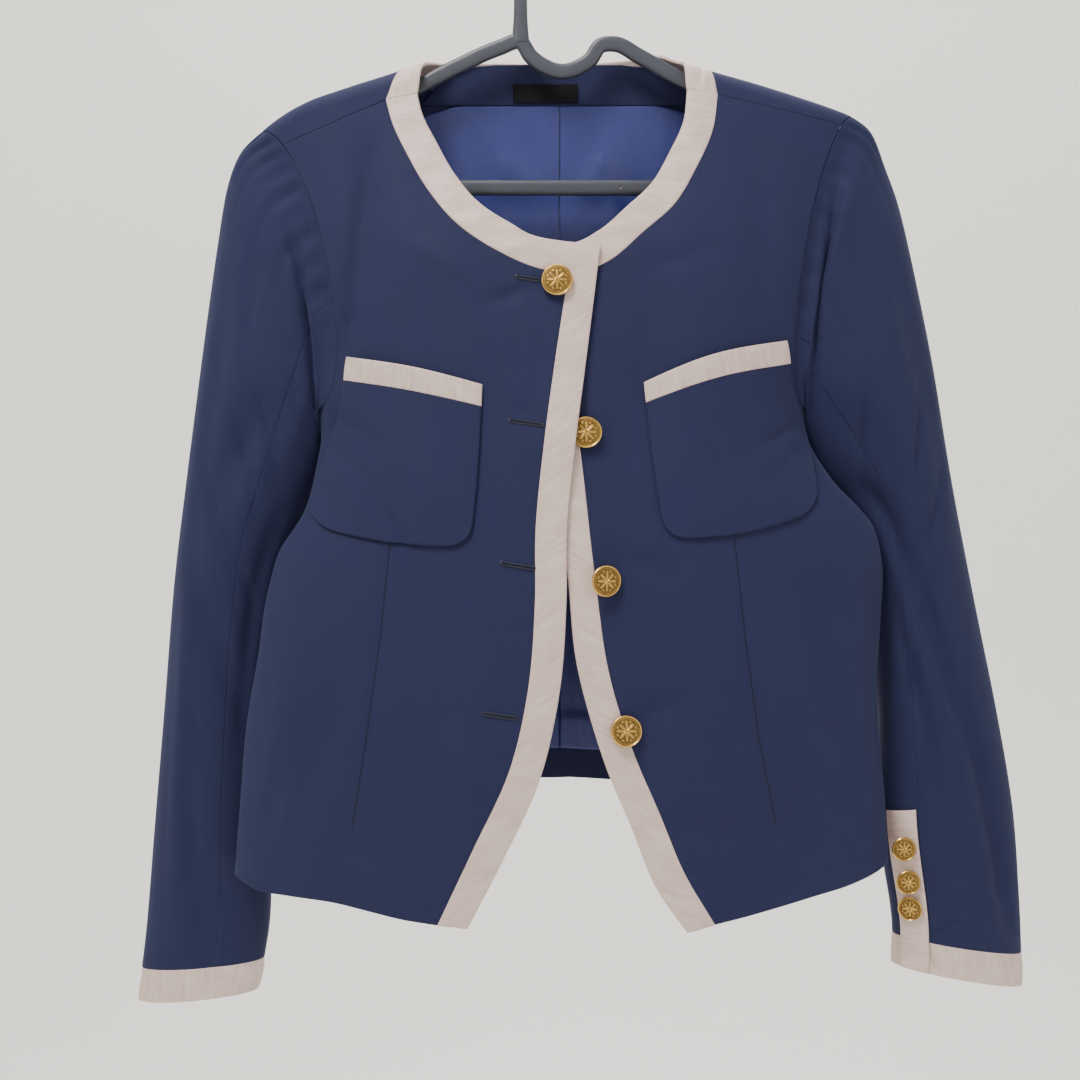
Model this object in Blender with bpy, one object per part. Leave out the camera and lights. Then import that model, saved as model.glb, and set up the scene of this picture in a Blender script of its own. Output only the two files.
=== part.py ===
"""A short collarless crepe blazer with satin bands, hanging on a moulded clothes hanger.

The frame's origin is the seat of the hook, the inner top of its crown. The garment's front faces -Y
and its left side lies at +X. Sizes and tables are in millimetres and are scaled to metres as the
meshes are made.
"""
import math

import bmesh
import bpy
import numpy as np
from mathutils import Matrix, Vector
from mathutils.bvhtree import BVHTree

MM = 0.001

# Driving dimensions
CLOTH = 2.0              # wall of the crepe with its backing
BAND_PROUD = 0.4         # how far a satin band stands out of the crepe
LINING = 1.0             # wall of the lining and of the facings
SEAM_GAP = 0.3           # space left between two pieces that are sewn together
ARMHOLE_EASE = 0.45      # further room at the head of a sleeve, whose wall turns there
LAY_GAP = 0.45           # space under a piece that is sewn flat onto another
POCKET_GAP = 1.0         # space under a pocket, whose middle stands off a little
INNER_GAP = 0.9          # space between the back and what lines it
PATCH = 1.4              # wall of a pocket or of a sleeve placket
LAP = 3.8                # how far the left front lies behind the right one where they lap
RIDGE_RADIUS = 12.0      # drop over which the cloth turns over the hanger
FRONT_FULLNESS = 2.4     # exponent of the front half section
BACK_FULLNESS = 3.0      # exponent of the back half section
FRONT_BUTTON = 20.0
CUFF_BUTTON = 16.0
POCKET_BAND = 15.0
PLACKET_WIDTH = 20.0
HANGER_HEIGHT = 10.0
HANGER_DEPTH = 7.0
HOOK_RADIUS = 26.0
HOOK_HEIGHT = 9.0

# Cells of the cloth grids; pieces that share a seam share its points
SHOULDER_CELLS = 11      # along the shoulder seam
ARMHOLE_CELLS = 8        # shoulder seam to underarm, on each face
YOKE_CELLS = 3           # shoulder seam to the top of the sleeve head
SIDE_CELLS = 12          # underarm to hem
COLLAR_CELLS = 8         # neck seam of a front, from shoulder to front corner
SLEEVE_CELLS = 17        # armhole to cuff seam
CUFF_CELLS = 2
RELAX_ROUNDS = 5
BAND_CELLS = 2

# Grid lines of half the back neck seam, closer together where it turns over the shoulder
NECK_SHARES = (0.0, 0.24, 0.46, 0.65, 0.75, 0.83, 0.91, 1.0)

RIGHT = -1               # wearer's right, at -X
LEFT = 1                 # wearer's left, at +X
FRONT = -1
BACK = 1

SEAM_ROW = 11            # row of the sleeve tables where the cuff band begins
CUFF_ROW = 12            # row of the sleeve's lower edge

# Ridge of the shoulders: distance from the middle, height
RIDGE = {
    RIGHT: [(0, -74), (45, -81), (82, -94), (113, -104), (147, -115), (164, -121), (181, -130),
            (197, -142), (215, -160)],
    LEFT: [(0, -74), (40, -80), (70, -92), (97, -101), (118, -107), (135, -112), (157, -119),
           (178, -126), (193, -132), (212, -145)],
}

# Reach of the body at the side: height, distance from the middle
REACH = {
    RIGHT: [(-680, 214), (-618, 212), (-578, 209), (-530, 205), (-481, 197), (-456, 194), (-437, 190),
            (-417, 184), (-396, 170), (-360, 160), (-343, 157.5), (-326, 159.5), (-280, 168), (-230, 180), (-180, 195),
            (-142, 210), (-60, 225)],
    LEFT: [(-680, 216), (-609, 214), (-577, 212), (-544, 209), (-507, 207), (-460, 210), (-421, 211),
           (-402, 206), (-370, 178), (-343, 163), (-325, 161), (-280, 168), (-230, 178), (-180, 190),
           (-132, 206), (-60, 222)],
}

# Depth of the body: height, y of the side seam, y at the middle front, y at the middle back
DEPTH = [
    (-680, -9, -54, 45), (-574, -9, -59, 44), (-500, -8, -62, 41), (-450, -6, -62, 39),
    (-380, -2, -60, 37), (-325, 2, -56, 35), (-260, 2, -50, 32), (-223, 1, -45, 29),
    (-180, 0, -32, 26), (-150, 0, -23, 24), (-120, 0, -15, 21), (-90, 0, -10, 18), (-60, 0, -9, 17),
]

# Front edge of each front: free x, free z, seam x, seam z, first along the neck, then down the front
NECK_EDGE = {
    RIGHT: [(-93, -120.5, -113.5, -124.5), (-90, -133, -109.5, -139), (-80, -154, -98.5, -163),
            (-68, -176, -83.5, -189), (-53, -195, -65, -211), (-32, -210, -40, -228.5),
            (-12, -220, -16, -239.5), (25, -225, 4.5, -244)],
    LEFT: [(82.5, -117.5, 102.5, -121), (80, -138, 99, -144), (71, -159, 88, -170),
           (58, -182, 72, -197), (43, -197, 53.5, -214), (23, -215, 31, -234), (3, -224, 9, -244),
           (-22, -229, -2.5, -249)],
}
FRONT_EDGE = {
    RIGHT: [(25, -225, 4.5, -244), (15.5, -300, -4, -300), (8.6, -353, -11, -353),
            (3.6, -405, -16, -405), (3.2, -450, -16.4, -450), (-1.4, -508, -21, -506),
            (-13, -559, -32, -553.5), (-37, -612, -55, -604), (-58.5, -654, -77.5, -652)],
    LEFT: [(-22, -229, -2.5, -249), (-14, -305, 5.5, -306), (-7.6, -354, 12, -355),
           (3.7, -433, 21, -433), (11, -495, 30.5, -497), (27, -550, 45, -543),
           (44, -591, 62, -583), (59, -628, 77, -619), (79, -657, 96.5, -652)],
}

# Hems: x, z, from the front edge to the side
FRONT_HEM = {
    RIGHT: [(-77.5, -652), (-99, -649), (-122, -644), (-141, -640), (-173, -637), (-195, -635),
            (-212, -629)],
    LEFT: [(96.5, -652), (114, -648), (138, -642), (162, -636), (184, -631), (200, -626), (214, -620)],
}
BACK_HEM = {
    RIGHT: [(0, -574), (-60, -579), (-120, -594), (-170, -613), (-212, -629)],
    LEFT: [(0, -574), (60, -579), (120, -593), (170, -608), (214, -620)],
}

# Back of the neck, its seam and then the free edge of its band: distance from the middle, height, face
BACK_NECK = [(0, -111, BACK), (38, -111, BACK), (70, -109.5, BACK), (92, -106, BACK)]
BACK_NECK_FREE = [(0, -91, BACK), (35, -91, BACK), (60, -91.5, BACK), (76, -93.5, BACK)]
NECK_SPREAD = {RIGHT: 1.0, LEFT: 0.9}      # share of those distances kept on each side
NECK_RIDGE = {RIGHT: 86.0, LEFT: 76.0}     # where the band's free edge crosses the shoulder ridge

# Armhole and sleeve of each side, a row for each section down the sleeve: outer point, inner point
# (x and z), y of the middle, half depths to the front and back, bow towards the body
SLEEVE = {
    RIGHT: [
        (-197, -142, -159.5, -326, 0, 0, 0, 29),
        (-212, -157, -167.5, -332.5, 2, 24, 20, 22),
        (-222, -180, -170, -345, 7, 31, 24, 17),
        (-229, -215, -170, -362, 13, 33, 25, 11),
        (-236, -258, -171, -381, 18, 32, 25, 6),
        (-244, -315, -176, -405, 21, 29, 24, 3),
        (-252, -375, -184, -438, 23, 28, 23, 0),
        (-260, -440, -191, -481, 24, 25, 21, 0),
        (-267, -525, -195, -545, 25, 23, 20, 0),
        (-273, -600, -195, -606, 24, 22, 20, 0),
        (-278, -665, -195, -660, 23, 20, 18, 0),
        (-281.5, -698, -199, -692, 22, 19, 17, 0),
        (-284, -720, -203, -713, 22, 19, 17, 0),
    ],
    LEFT: [
        (193, -132, 161, -325, 0, 0, 0, -20),
        (206, -142, 169, -331.5, 1, 23, 20, -16),
        (216, -162, 173, -344, 4, 30, 24, -14),
        (226, -188, 180, -360, 8, 33, 26, -10),
        (236, -230, 191, -381, 11, 33, 26, -6),
        (249, -292, 209, -404, 13, 30, 25, -3),
        (262, -370, 215.5, -433, 14, 28, 24, 0),
        (277, -448, 215, -476, 14, 26, 23, 0),
        (292, -526, 213.5, -535, 14, 24, 21, 0),
        (303, -590, 217, -600, 14, 22, 20, 0),
        (307, -650, 221, -654, 14, 21, 18, 0),
        (308.5, -686, 222.5, -673, 14, 20, 17, 0),
        (309, -708, 222, -693, 14, 20, 17, 0),
    ],
}
SHOULDER_TURN = {RIGHT: 29.0, LEFT: 23.0}      # degrees round the armhole to the shoulder seam
FORE_SEAM = {RIGHT: 4, LEFT: 5}                # grid line of the sleeve's seam on the front
HIND_SEAM = {RIGHT: 12, LEFT: 12}              # grid line of the sleeve's seam on the back
VENT_SEAM = {RIGHT: 12, LEFT: 5}               # the seam that opens into the vent
PLACKET_SIDE = {RIGHT: -1, LEFT: 1}            # grid direction from the vent to the placket's far edge
PLACKET_TOP = {RIGHT: -606.0, LEFT: -588.0}

# Soft troughs (positive) and ridges (negative) of the fronts and back:
# x and z of one end, x and z of the other, half width, depth
FRONT_FOLDS = [
    (-122, -169, -132, -262, 9, 5.0),
    (-132, -262, -139, -300, 8, 3.5),
    (52, -285, 36, -380, 14, 2.5),
    (-136, -500, -163, -575, 12, 3.0),
    (-107, -425, -124, -560, 5, 1.8),
    (108, -430, 128, -565, 5, 1.8),
    (148, -335, 172, -372, 9, 3.0),
    (150, -455, 186, -600, 16, 2.5),
    (-172, -470, -183, -600, 12, -2.5),
    (70, -590, 100, -594, 8, 1.6),
    (126, -172, 132, -262, 10, 2.5),
    (-40, -470, -70, -600, 16, -2.0),
]
BACK_FOLDS = [
    (-6, -330, -4, -560, 12, 2.0),
    (-128, -160, -138, -290, 10, -3.0),
    (124, -160, 134, -290, 10, -3.0),
    (-104, -400, -120, -590, 14, -2.4),
    (100, -400, 118, -590, 14, -2.4),
    (-60, -170, -34, -330, 18, -1.6),
    (62, -175, 30, -340, 18, -1.6),
]
# Soft troughs of the sleeves: grid turn in degrees and fraction down the sleeve of both ends, half
# width, depth
SLEEVE_FOLDS = {
    RIGHT: [
        (70, 0.06, 110, 0.18, 8, 3.0), (88, 0.10, 128, 0.20, 7, 3.0), (110, 0.30, 70, 0.52, 12, 3.5),
        (60, 0.62, 118, 0.70, 10, 3.0), (70, 0.78, 100, 0.98, 8, 2.0), (250, 0.42, 300, 0.54, 10, 3.0),
        (235, 0.48, 290, 0.62, 10, 2.5), (200, 0.30, 255, 0.40, 12, 2.5), (300, 0.70, 255, 0.90, 10, 2.0),
    ],
    LEFT: [
        (52, 0.05, 96, 0.12, 8, 3.0), (76, 0.09, 120, 0.20, 8, 3.5), (140, 0.42, 108, 0.58, 9, 5.0),
        (108, 0.58, 64, 0.76, 9, 5.5), (64, 0.76, 44, 0.93, 9, 4.0), (54, 0.54, 84, 0.57, 7, 2.5),
        (246, 0.44, 300, 0.54, 10, 3.0), (230, 0.52, 285, 0.64, 10, 2.5), (300, 0.72, 250, 0.90, 10, 2.0),
    ],
}
# The right front is lifted over the button under it: x, z, half width, lift
LIFT = (10, -344, 26, 4.6)

# Corners of each pocket below its band and of the band above: x, z
POCKET = {
    RIGHT: {"top": [(-136, -294), (-94, -302), (-49, -314)],
            "bottom": [(-160.5, -402), (-108, -412.5), (-55, -416)],
            "side": [(-136, -294), (-140, -325), (-151, -362), (-160.5, -402)],
            "inner": [(-49, -314), (-51, -360), (-55, -416)]},
    LEFT: {"top": [(144, -283), (96, -294), (52, -312)],
           "bottom": [(163, -393), (112, -407), (63, -411)],
           "side": [(144, -283), (150, -315), (160, -350), (163, -393)],
           "inner": [(52, -312), (57, -360), (63, -411)]},
}
POCKET_CORNER = 15.0

# Front buttons: x, z, the front that they lie on, tilt in degrees about the upright, about the level
FRONT_BUTTONS = [
    (-2.5, -248.5, RIGHT, 0, 0), (15.5, -344, LEFT, 0, 0), (25.4, -436, LEFT, 22, 4),
    (40, -530, LEFT, 6, -6),
]
CUFF_BUTTON_HEIGHTS = {RIGHT: (-633.0, -655.0, -674.0), LEFT: (-612.0, -634.0, -652.5)}
CUFF_BUTTON_TILT = {RIGHT: (8, 14, 6), LEFT: (26, 24, 6)}

# Back lining, facings and label: heights of their edges
FACING_BOTTOM = -119.0
LINING_BOTTOM = -553.0
LINING_HALF_WIDTH = 128.0
LINING_START = 0.2       # half of the gap between the two halves of the lining
LINING_SLOPE = 55.0      # how far the lining's top edge falls away towards the armholes
FACING_TOP = -94.5
FACING_HALF_TOP = 56.0
FACING_HALF_BOTTOM = 74.0
HEM_MIDDLE = -574.0      # height of the back's hem at its middle
INSIDE_START = -4.0      # y in front of the back from which its inner pieces are laid on it
LABEL_WALL = 0.6
LABEL_BOX = (-31, 12, -105.5, -117.5)      # x from, x to, z from, z to

# Middle line of the hanger's shoulder bar, left to right, and of the rail under it
SHOULDER_BAR = [
    (-174, -150), (-168, -142), (-155, -134.5), (-130, -126), (-100, -115), (-70, -99.5),
    (-40, -86), (-26.4, -82), (-19, -92), (1.3, -101.7), (19.8, -94), (27, -84.5), (36, -83.5),
    (52, -91.5), (74, -104), (100, -116), (130, -124.5), (155, -133), (168, -140), (174, -149),
]
RAIL = [(174, -162), (164, -175), (140, -178), (-140, -178), (-164, -175), (-174, -162)]
STEM_X = -26.0


def smooth(table, at):
    """Values of a table at a key, on a smooth curve through its rows."""
    rows = np.array(table, dtype=float)
    rows = rows[np.argsort(rows[:, 0])]
    keys, values = rows[:, 0], rows[:, 1:]
    slopes = np.gradient(values, keys, axis=0)
    at = np.clip(np.asarray(at, dtype=float), keys[0], keys[-1])
    cell = np.clip(np.searchsorted(keys, at) - 1, 0, len(keys) - 2)
    span = keys[cell + 1] - keys[cell]
    t = ((at - keys[cell]) / span)[..., None]
    step = span[..., None]
    curve = ((2 * t**3 - 3 * t**2 + 1) * values[cell] + (t**3 - 2 * t**2 + t) * step * slopes[cell]
             + (3 * t**2 - 2 * t**3) * values[cell + 1] + (t**3 - t**2) * step * slopes[cell + 1])
    return curve[..., 0] if curve.shape[-1] == 1 else curve


def along(points, fractions):
    """Points at fractions of the length of a smooth curve through the given points."""
    points = np.array(points, dtype=float)
    steps = np.linalg.norm(np.diff(points[:, :2], axis=0), axis=1)
    reach = np.concatenate([[0.0], np.cumsum(steps)])
    table = np.column_stack([reach / reach[-1], points])
    return smooth(table, fractions)


def coons(top, bottom, start, end):
    """Grid between four edges: rows run from start to end, columns from top to bottom."""
    u = np.linspace(0, 1, len(top))[None, :, None]
    v = (np.linspace(0, 1, len(start)))[:, None, None]
    top, bottom, start, end = (np.array(edge, dtype=float) for edge in (top, bottom, start, end))
    across = (1 - v) * top[None] + v * bottom[None]
    down = (1 - u) * start[:, None] + u * end[:, None]
    corners = ((1 - u) * (1 - v) * top[0] + u * (1 - v) * top[-1]
               + (1 - u) * v * bottom[0] + u * v * bottom[-1])
    return across + down - corners


def relaxed(plan):
    """Even out the inner points of a plan, so that no cell folds over at a corner."""
    plan = plan.copy()
    for _ in range(RELAX_ROUNDS):
        around = plan[2:, 1:-1] + plan[:-2, 1:-1] + plan[1:-1, 2:] + plan[1:-1, :-2]
        plan[1:-1, 1:-1] = (plan[1:-1, 1:-1] + around / 4) / 2
    return plan


def by_side(tables, x, at):
    """A table's value on the side where x lies."""
    return np.where(np.asarray(x) < 0, smooth(tables[RIGHT], at), smooth(tables[LEFT], at))


def ridge(x):
    return by_side(RIDGE, x, np.abs(x))


def body_depth(z):
    """Height's y of the side seam, of the middle front and of the middle back."""
    depth = smooth(DEPTH, z)
    return depth[..., 0], depth[..., 1], depth[..., 2]


def square_depth(x, z, face):
    """Square of the half depth of the body; negative outside it."""
    side, front, back = body_depth(z)
    share = np.abs(x) / by_side(REACH, x, z)
    if face == FRONT:
        section = 1 - share**FRONT_FULLNESS
        depth = side - front
    else:
        section = 1 - share**BACK_FULLNESS
        depth = back - side
    turned = 1 - np.clip(1 - (ridge(x) - z) / RIDGE_RADIUS, 0, None)**2
    return depth**2 * section * np.where(section < 0, np.abs(turned), turned)


def trough(x, z, row):
    """Depth of one soft trough at a place."""
    x0, z0, x1, z1, half_width, depth = row
    run = np.array([x1 - x0, z1 - z0], dtype=float)
    t = np.clip(((x - x0) * run[0] + (z - z0) * run[1]) / run.dot(run), 0, 1)
    away = np.hypot(x - x0 - t * run[0], z - z0 - t * run[1])
    return depth * np.exp(-(away / half_width)**2)


def folds(x, z, face, layer):
    """How far folds move the body's surface towards +Y."""
    share = np.abs(x) / by_side(REACH, x, z)
    kept = np.clip(3 * (1 - share**4), 0, 1) * np.clip((ridge(x) - z) / (3 * RIDGE_RADIUS), 0, 1)
    table = FRONT_FOLDS if face == FRONT else BACK_FOLDS
    moved = -face * sum(trough(x, z, row) for row in table)
    if face == FRONT and layer == LEFT:
        fade = np.clip((92 - x) / 40, 0, 1)
        moved = moved + LAP * fade**2 * (3 - 2 * fade)
    if face == FRONT and layer == RIGHT:
        middle_x, middle_z, half_width, lift = LIFT
        moved = moved - lift * np.exp(-((x - middle_x)**2 + (z - middle_z)**2) / half_width**2)
    return moved * kept


def surface(x, z, face, layer):
    """Points of the body's outer surface and the directions that face out of it."""
    x, z = np.asarray(x, dtype=float), np.asarray(z, dtype=float)
    side = body_depth(z)[0]
    y = side + face * np.sqrt(np.clip(square_depth(x, z, face), 0, None)) + folds(x, z, face, layer)

    def outside(px, py, pz):
        middle = body_depth(pz)[0] + folds(px, pz, face, layer)
        return (py - middle)**2 - square_depth(px, pz, face)

    step = 0.2
    slope = np.stack([
        outside(x + step, y, z) - outside(x - step, y, z),
        outside(x, y + step, z) - outside(x, y - step, z),
        outside(x, y, z + step) - outside(x, y, z - step)], axis=-1)
    length = np.linalg.norm(slope, axis=-1, keepdims=True)
    return np.stack([x, y, z], axis=-1), slope / np.maximum(length, 1e-9)


def turn_length(x, z, face):
    """Signed length over the shoulder ridge, with the back positive."""
    drop = max(float(ridge(x)) - z, 0.0)
    quarter = RIDGE_RADIUS * math.pi / 2
    if drop < RIDGE_RADIUS:
        length = RIDGE_RADIUS * math.acos(1 - drop / RIDGE_RADIUS)
    else:
        length = quarter + drop - RIDGE_RADIUS
    return face * length


def turn_height(x, length):
    """Height under the ridge for a signed length over it."""
    quarter = RIDGE_RADIUS * math.pi / 2
    over = np.abs(length)
    near = RIDGE_RADIUS * (1 - np.cos(np.minimum(over, quarter) / RIDGE_RADIUS))
    return ridge(x) - near - np.maximum(over - quarter, 0)


def armhole(side, degrees):
    """Place on the armhole seam: x, z; 0 is the top, 90 the front and 180 the underarm."""
    x0, z0, x1, z1, _, _, _, bow = SLEEVE[side][0]
    turn = np.radians(degrees)
    x = (x0 + x1) / 2 + (x0 - x1) / 2 * np.cos(turn) + bow * np.abs(np.sin(turn))
    z = (z0 + z1) / 2 + (z0 - z1) / 2 * np.cos(turn)
    return x, z


def back_turns():
    """Degrees round the back of the armhole from its top, closer together at the shoulder."""
    return 180 * np.linspace(0, 1, ARMHOLE_CELLS + 1)**1.25


def ring_turns(side):
    """Degrees of the grid lines round the armhole and sleeve, from the shoulder seam forward."""
    start = SHOULDER_TURN[side]
    front = np.linspace(start, 180, ARMHOLE_CELLS + 1)
    back = 360 - back_turns()[::-1][1:]
    yoke = np.linspace(360, 360 + start, YOKE_CELLS + 1)[1:-1]
    return np.concatenate([front, back, yoke])


def side_seam(side):
    """Points of the side seam, from underarm to hem."""
    top = SLEEVE[side][0][3]
    bottom = FRONT_HEM[side][-1][1]
    heights = np.linspace(top, bottom, SIDE_CELLS + 1)
    return np.column_stack([side * smooth(REACH[side], heights), heights])


def front_rows(side):
    """Free edge and seam edge of a front's band, a row for each row of the panel."""
    neck = along([row[2:] + row[:2] for row in NECK_EDGE[side]], np.linspace(0, 1, COLLAR_CELLS + 1))
    down = along([row[2:] + row[:2] for row in FRONT_EDGE[side]],
                 np.linspace(0, 1, ARMHOLE_CELLS + SIDE_CELLS - COLLAR_CELLS + 1))
    rows = np.vstack([neck, down[1:]])
    return rows[:, 2:], rows[:, :2]


def front_plan(side):
    """Grid of a front panel on the XZ plane."""
    seam = front_rows(side)[1]
    turns = np.linspace(SHOULDER_TURN[side], 180, ARMHOLE_CELLS + 1)
    sleeve_edge = np.column_stack(armhole(side, turns))
    outer = np.vstack([sleeve_edge, side_seam(side)[1:]])
    closer = 1 - (1 - np.linspace(0, 1, SHOULDER_CELLS + 1))**1.35
    top = seam[0] + closer[:, None] * (outer[0] - seam[0])
    bottom = along(FRONT_HEM[side], closer)
    plan = coons(top, bottom, seam, outer)
    for row in range(1, len(plan) - 1):
        plan[row] = along(plan[row], closer)
    return relaxed(plan)


def back_plan(side):
    """Grid of a back panel: x and the signed length over the ridge."""
    x_neck, z_neck = front_rows(side)[1][0]
    neck = [(side * x, turn_length(side * x, z, face)) for x, z, face in BACK_NECK]
    neck.append(((side * BACK_NECK[-1][0] + x_neck) / 2, 0.0))
    neck.append((x_neck, turn_length(x_neck, z_neck, FRONT)))
    neck = along(neck, NECK_SHARES)
    shoulder = front_plan(side)[0]
    shoulder = np.array([(x, turn_length(x, z, FRONT)) for x, z in shoulder])
    top = np.vstack([neck, shoulder[1:]])
    turns = np.concatenate([np.linspace(SHOULDER_TURN[side], 0, YOKE_CELLS + 1),
                            -back_turns()[1:]])
    faces = [FRONT] * YOKE_CELLS + [BACK] * (ARMHOLE_CELLS + 1)
    x_hole, z_hole = armhole(side, turns)
    outer = [(x, turn_length(x, z, face)) for x, z, face in zip(x_hole, z_hole, faces)]
    outer += [(x, turn_length(x, z, BACK)) for x, z in side_seam(side)[1:]]
    hem = along([(x, turn_length(x, z, BACK)) for x, z in BACK_HEM[side]],
                np.linspace(0, 1, len(top)))
    middle = along([tuple(top[0]), tuple(hem[0])], np.linspace(0, 1, len(outer)))
    return relaxed(coons(top, hem, middle, outer))


def back_points(plan):
    """Surface of a back panel from its plan, over the ridge onto the front."""
    x, length = plan[..., 0], plan[..., 1]
    z = turn_height(x, length)
    points, facing = surface(x, z, BACK, 0)
    front_points, front_facing = surface(x, z, FRONT, 0)
    ahead = (length < 0)[..., None]
    return np.where(ahead, front_points, points), np.where(ahead, front_facing, facing)


def pull_in(points, edges, gap=SEAM_GAP / 2):
    """Move the named edges of a grid inwards, to leave room at its seams."""
    moved = points.copy()
    lines = {"first_row": (0, 1, 0), "last_row": (-1, -2, 0), "first_column": (0, 1, 1),
             "last_column": (-1, -2, 1)}
    for edge in edges:
        at, inner, axis = lines[edge]
        rim = points.take(at, axis=axis)
        run = points.take(inner, axis=axis) - rim
        run = run / np.maximum(np.linalg.norm(run, axis=-1, keepdims=True), 1e-9)
        if axis == 0:
            moved[at] += run * gap
        else:
            moved[:, at] += run * gap
    return moved


def material(name, colour, roughness, metallic=0.0):
    made = bpy.data.materials.get(name) or bpy.data.materials.new(name)
    made.use_nodes = True
    shader = made.node_tree.nodes["Principled BSDF"]
    shader.inputs["Base Color"].default_value = (*colour, 1.0)
    shader.inputs["Roughness"].default_value = roughness
    shader.inputs["Metallic"].default_value = metallic
    return made


def add_object(name, vertices, faces, look):
    """One closed body from points in millimetres, with its faces turned outwards."""
    mesh = bpy.data.meshes.new(name)
    mesh.from_pydata([tuple(np.array(v, dtype=float) * MM) for v in vertices], [], faces)
    shape = bmesh.new()
    shape.from_mesh(mesh)
    bmesh.ops.recalc_face_normals(shape, faces=shape.faces)
    bmesh.ops.triangulate(shape, faces=shape.faces)
    shape.to_mesh(mesh)
    shape.free()
    mesh.materials.append(look)
    mesh.shade_smooth()
    mesh.set_sharp_from_angle(angle=math.radians(50))
    made = bpy.data.objects.new(name, mesh)
    bpy.context.scene.collection.objects.link(made)
    return made


def wall(name, outer, inner, look):
    """Closed wall between an outer and an inner grid."""
    rows, columns = outer.shape[:2]
    vertices = np.vstack([outer.reshape(-1, 3), inner.reshape(-1, 3)])
    count = rows * columns

    def corner(row, column, layer):
        return layer * count + row * columns + column

    faces = []
    for row in range(rows - 1):
        for column in range(columns - 1):
            cell = [(row, column), (row, column + 1), (row + 1, column + 1), (row + 1, column)]
            faces.append([corner(r, c, 0) for r, c in cell])
            faces.append([corner(r, c, 1) for r, c in reversed(cell)])
    rim = [(0, c) for c in range(columns)] + [(r, columns - 1) for r in range(1, rows)]
    rim += [(rows - 1, c) for c in range(columns - 2, -1, -1)] + [(r, 0) for r in range(rows - 2, 0, -1)]
    for here, there in zip(rim, rim[1:] + rim[:1]):
        faces.append([corner(*here, 0), corner(*there, 0), corner(*there, 1), corner(*here, 1)])
    return add_object(name, vertices, faces, look)


def cloth(name, points, facing, edges, look, thickness=CLOTH, proud=0.0):
    """A sewn piece: its outer points pulled in at the seams, and its wall behind them."""
    points = pull_in(points, edges)
    return wall(name, points + facing * proud, points - facing * thickness, look)


def sleeve_shape(side, key, turns):
    """Points of a sleeve before its folds: key counts the table's rows, turns are in degrees."""
    row = smooth([(index, *values) for index, values in enumerate(SLEEVE[side])], key)
    x0, z0, x1, z1, middle, ahead, behind, bow = np.moveaxis(row, -1, 0)
    angle = np.radians(turns)
    around, out = np.cos(angle), np.sin(angle)
    x = (x0 + x1) / 2 + (x0 - x1) / 2 * around + bow * np.abs(out)**(1 + np.clip(key, 0, 1))
    z = (z0 + z1) / 2 + (z0 - z1) / 2 * around
    own = middle - np.where(out > 0, ahead, behind) * out
    hole_x, hole_z = armhole(side, turns)
    hole_front = surface(hole_x, hole_z, FRONT, 0)[0][..., 1]
    hole_back = surface(hole_x, hole_z, BACK, 0)[0][..., 1]
    hole = np.where(out >= 0, hole_front, hole_back)
    kept = np.clip(1 - np.asarray(key) / 2.4, 0, 1)**1.5
    return np.stack([x, kept * hole + (1 - kept) * own, z], axis=-1)


def sleeve_folds(side, key, turns):
    """Depth of the sleeve's troughs; a degree is about 0.85 mm and the whole length 570 mm."""
    degree, length = 0.85, 570.0
    wrapped = np.asarray(turns) % 360
    share = np.asarray(key) / SEAM_ROW
    rows = [(a * degree, f * length, b * degree, g * length, width, depth)
            for a, f, b, g, width, depth in SLEEVE_FOLDS[side]]
    total = sum(trough(wrapped * degree, share * length, row) for row in rows)
    return total * np.clip(share * 14 - 0.3, 0, 1)


def sleeve_surface(side, key, turns):
    """Points of the sleeve's outer surface and the directions that face out of it."""
    key, turns = np.broadcast_arrays(np.asarray(key, dtype=float), np.asarray(turns, dtype=float))
    points = sleeve_shape(side, key, turns)
    down = sleeve_shape(side, key + 0.08, turns) - sleeve_shape(side, np.maximum(key - 0.08, 0), turns)
    around = sleeve_shape(side, key, turns + 2) - sleeve_shape(side, key, turns - 2)
    facing = np.cross(down, around) * -side
    facing /= np.maximum(np.linalg.norm(facing, axis=-1, keepdims=True), 1e-9)
    hole_x, hole_z = armhole(side, turns)
    ahead = (np.sin(np.radians(turns)) >= 0)[..., None]
    body = np.where(ahead, surface(hole_x, hole_z, FRONT, 0)[1], surface(hole_x, hole_z, BACK, 0)[1])
    kept = np.clip(1 - key / 0.6, 0, 1)[..., None]
    facing = facing + kept * body
    facing /= np.maximum(np.linalg.norm(facing, axis=-1, keepdims=True), 1e-9)
    return points - facing * sleeve_folds(side, key, turns)[..., None], facing


def mitre(side, facing, turns):
    """Turn the armhole edge of a panel's walls halfway towards the sleeve's."""
    facing = facing.copy()
    facing[:len(turns), -1] = sleeve_surface(side, 0.0, turns)[1]
    return facing


def sleeve_strip(side, first, last, keys):
    """Grid of a stretch of sleeve between two grid lines."""
    turns = ring_turns(side)
    count = len(turns)
    picked = [turns[line % count] + 360 * (line // count) for line in range(first, last + 1)]
    return sleeve_surface(side, np.asarray(keys)[:, None], np.array(picked)[None, :])


def tree(*objects):
    """Search tree over the faces of objects, in metres."""
    vertices, faces = [], []
    for piece in objects:
        start = len(vertices)
        vertices += [vertex.co.copy() for vertex in piece.data.vertices]
        faces += [[start + index for index in face.vertices] for face in piece.data.polygons]
    return BVHTree.FromPolygons(vertices, faces)


def cast(found, x, z, start_y):
    """First y in millimetres that lines towards +Y meet round a place, past any seam there."""
    met = []
    for beside, above in ((0, 0), (1, 0), (-1, 0), (0, 1), (0, -1), (0, 2), (0, -2)):
        origin = Vector(((x + beside) * MM, start_y * MM, (z + above) * MM))
        hit = found.ray_cast(origin, Vector((0, 1, 0)))[0]
        if hit is not None:
            met.append(hit[1] / MM)
    return min(met)


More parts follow.
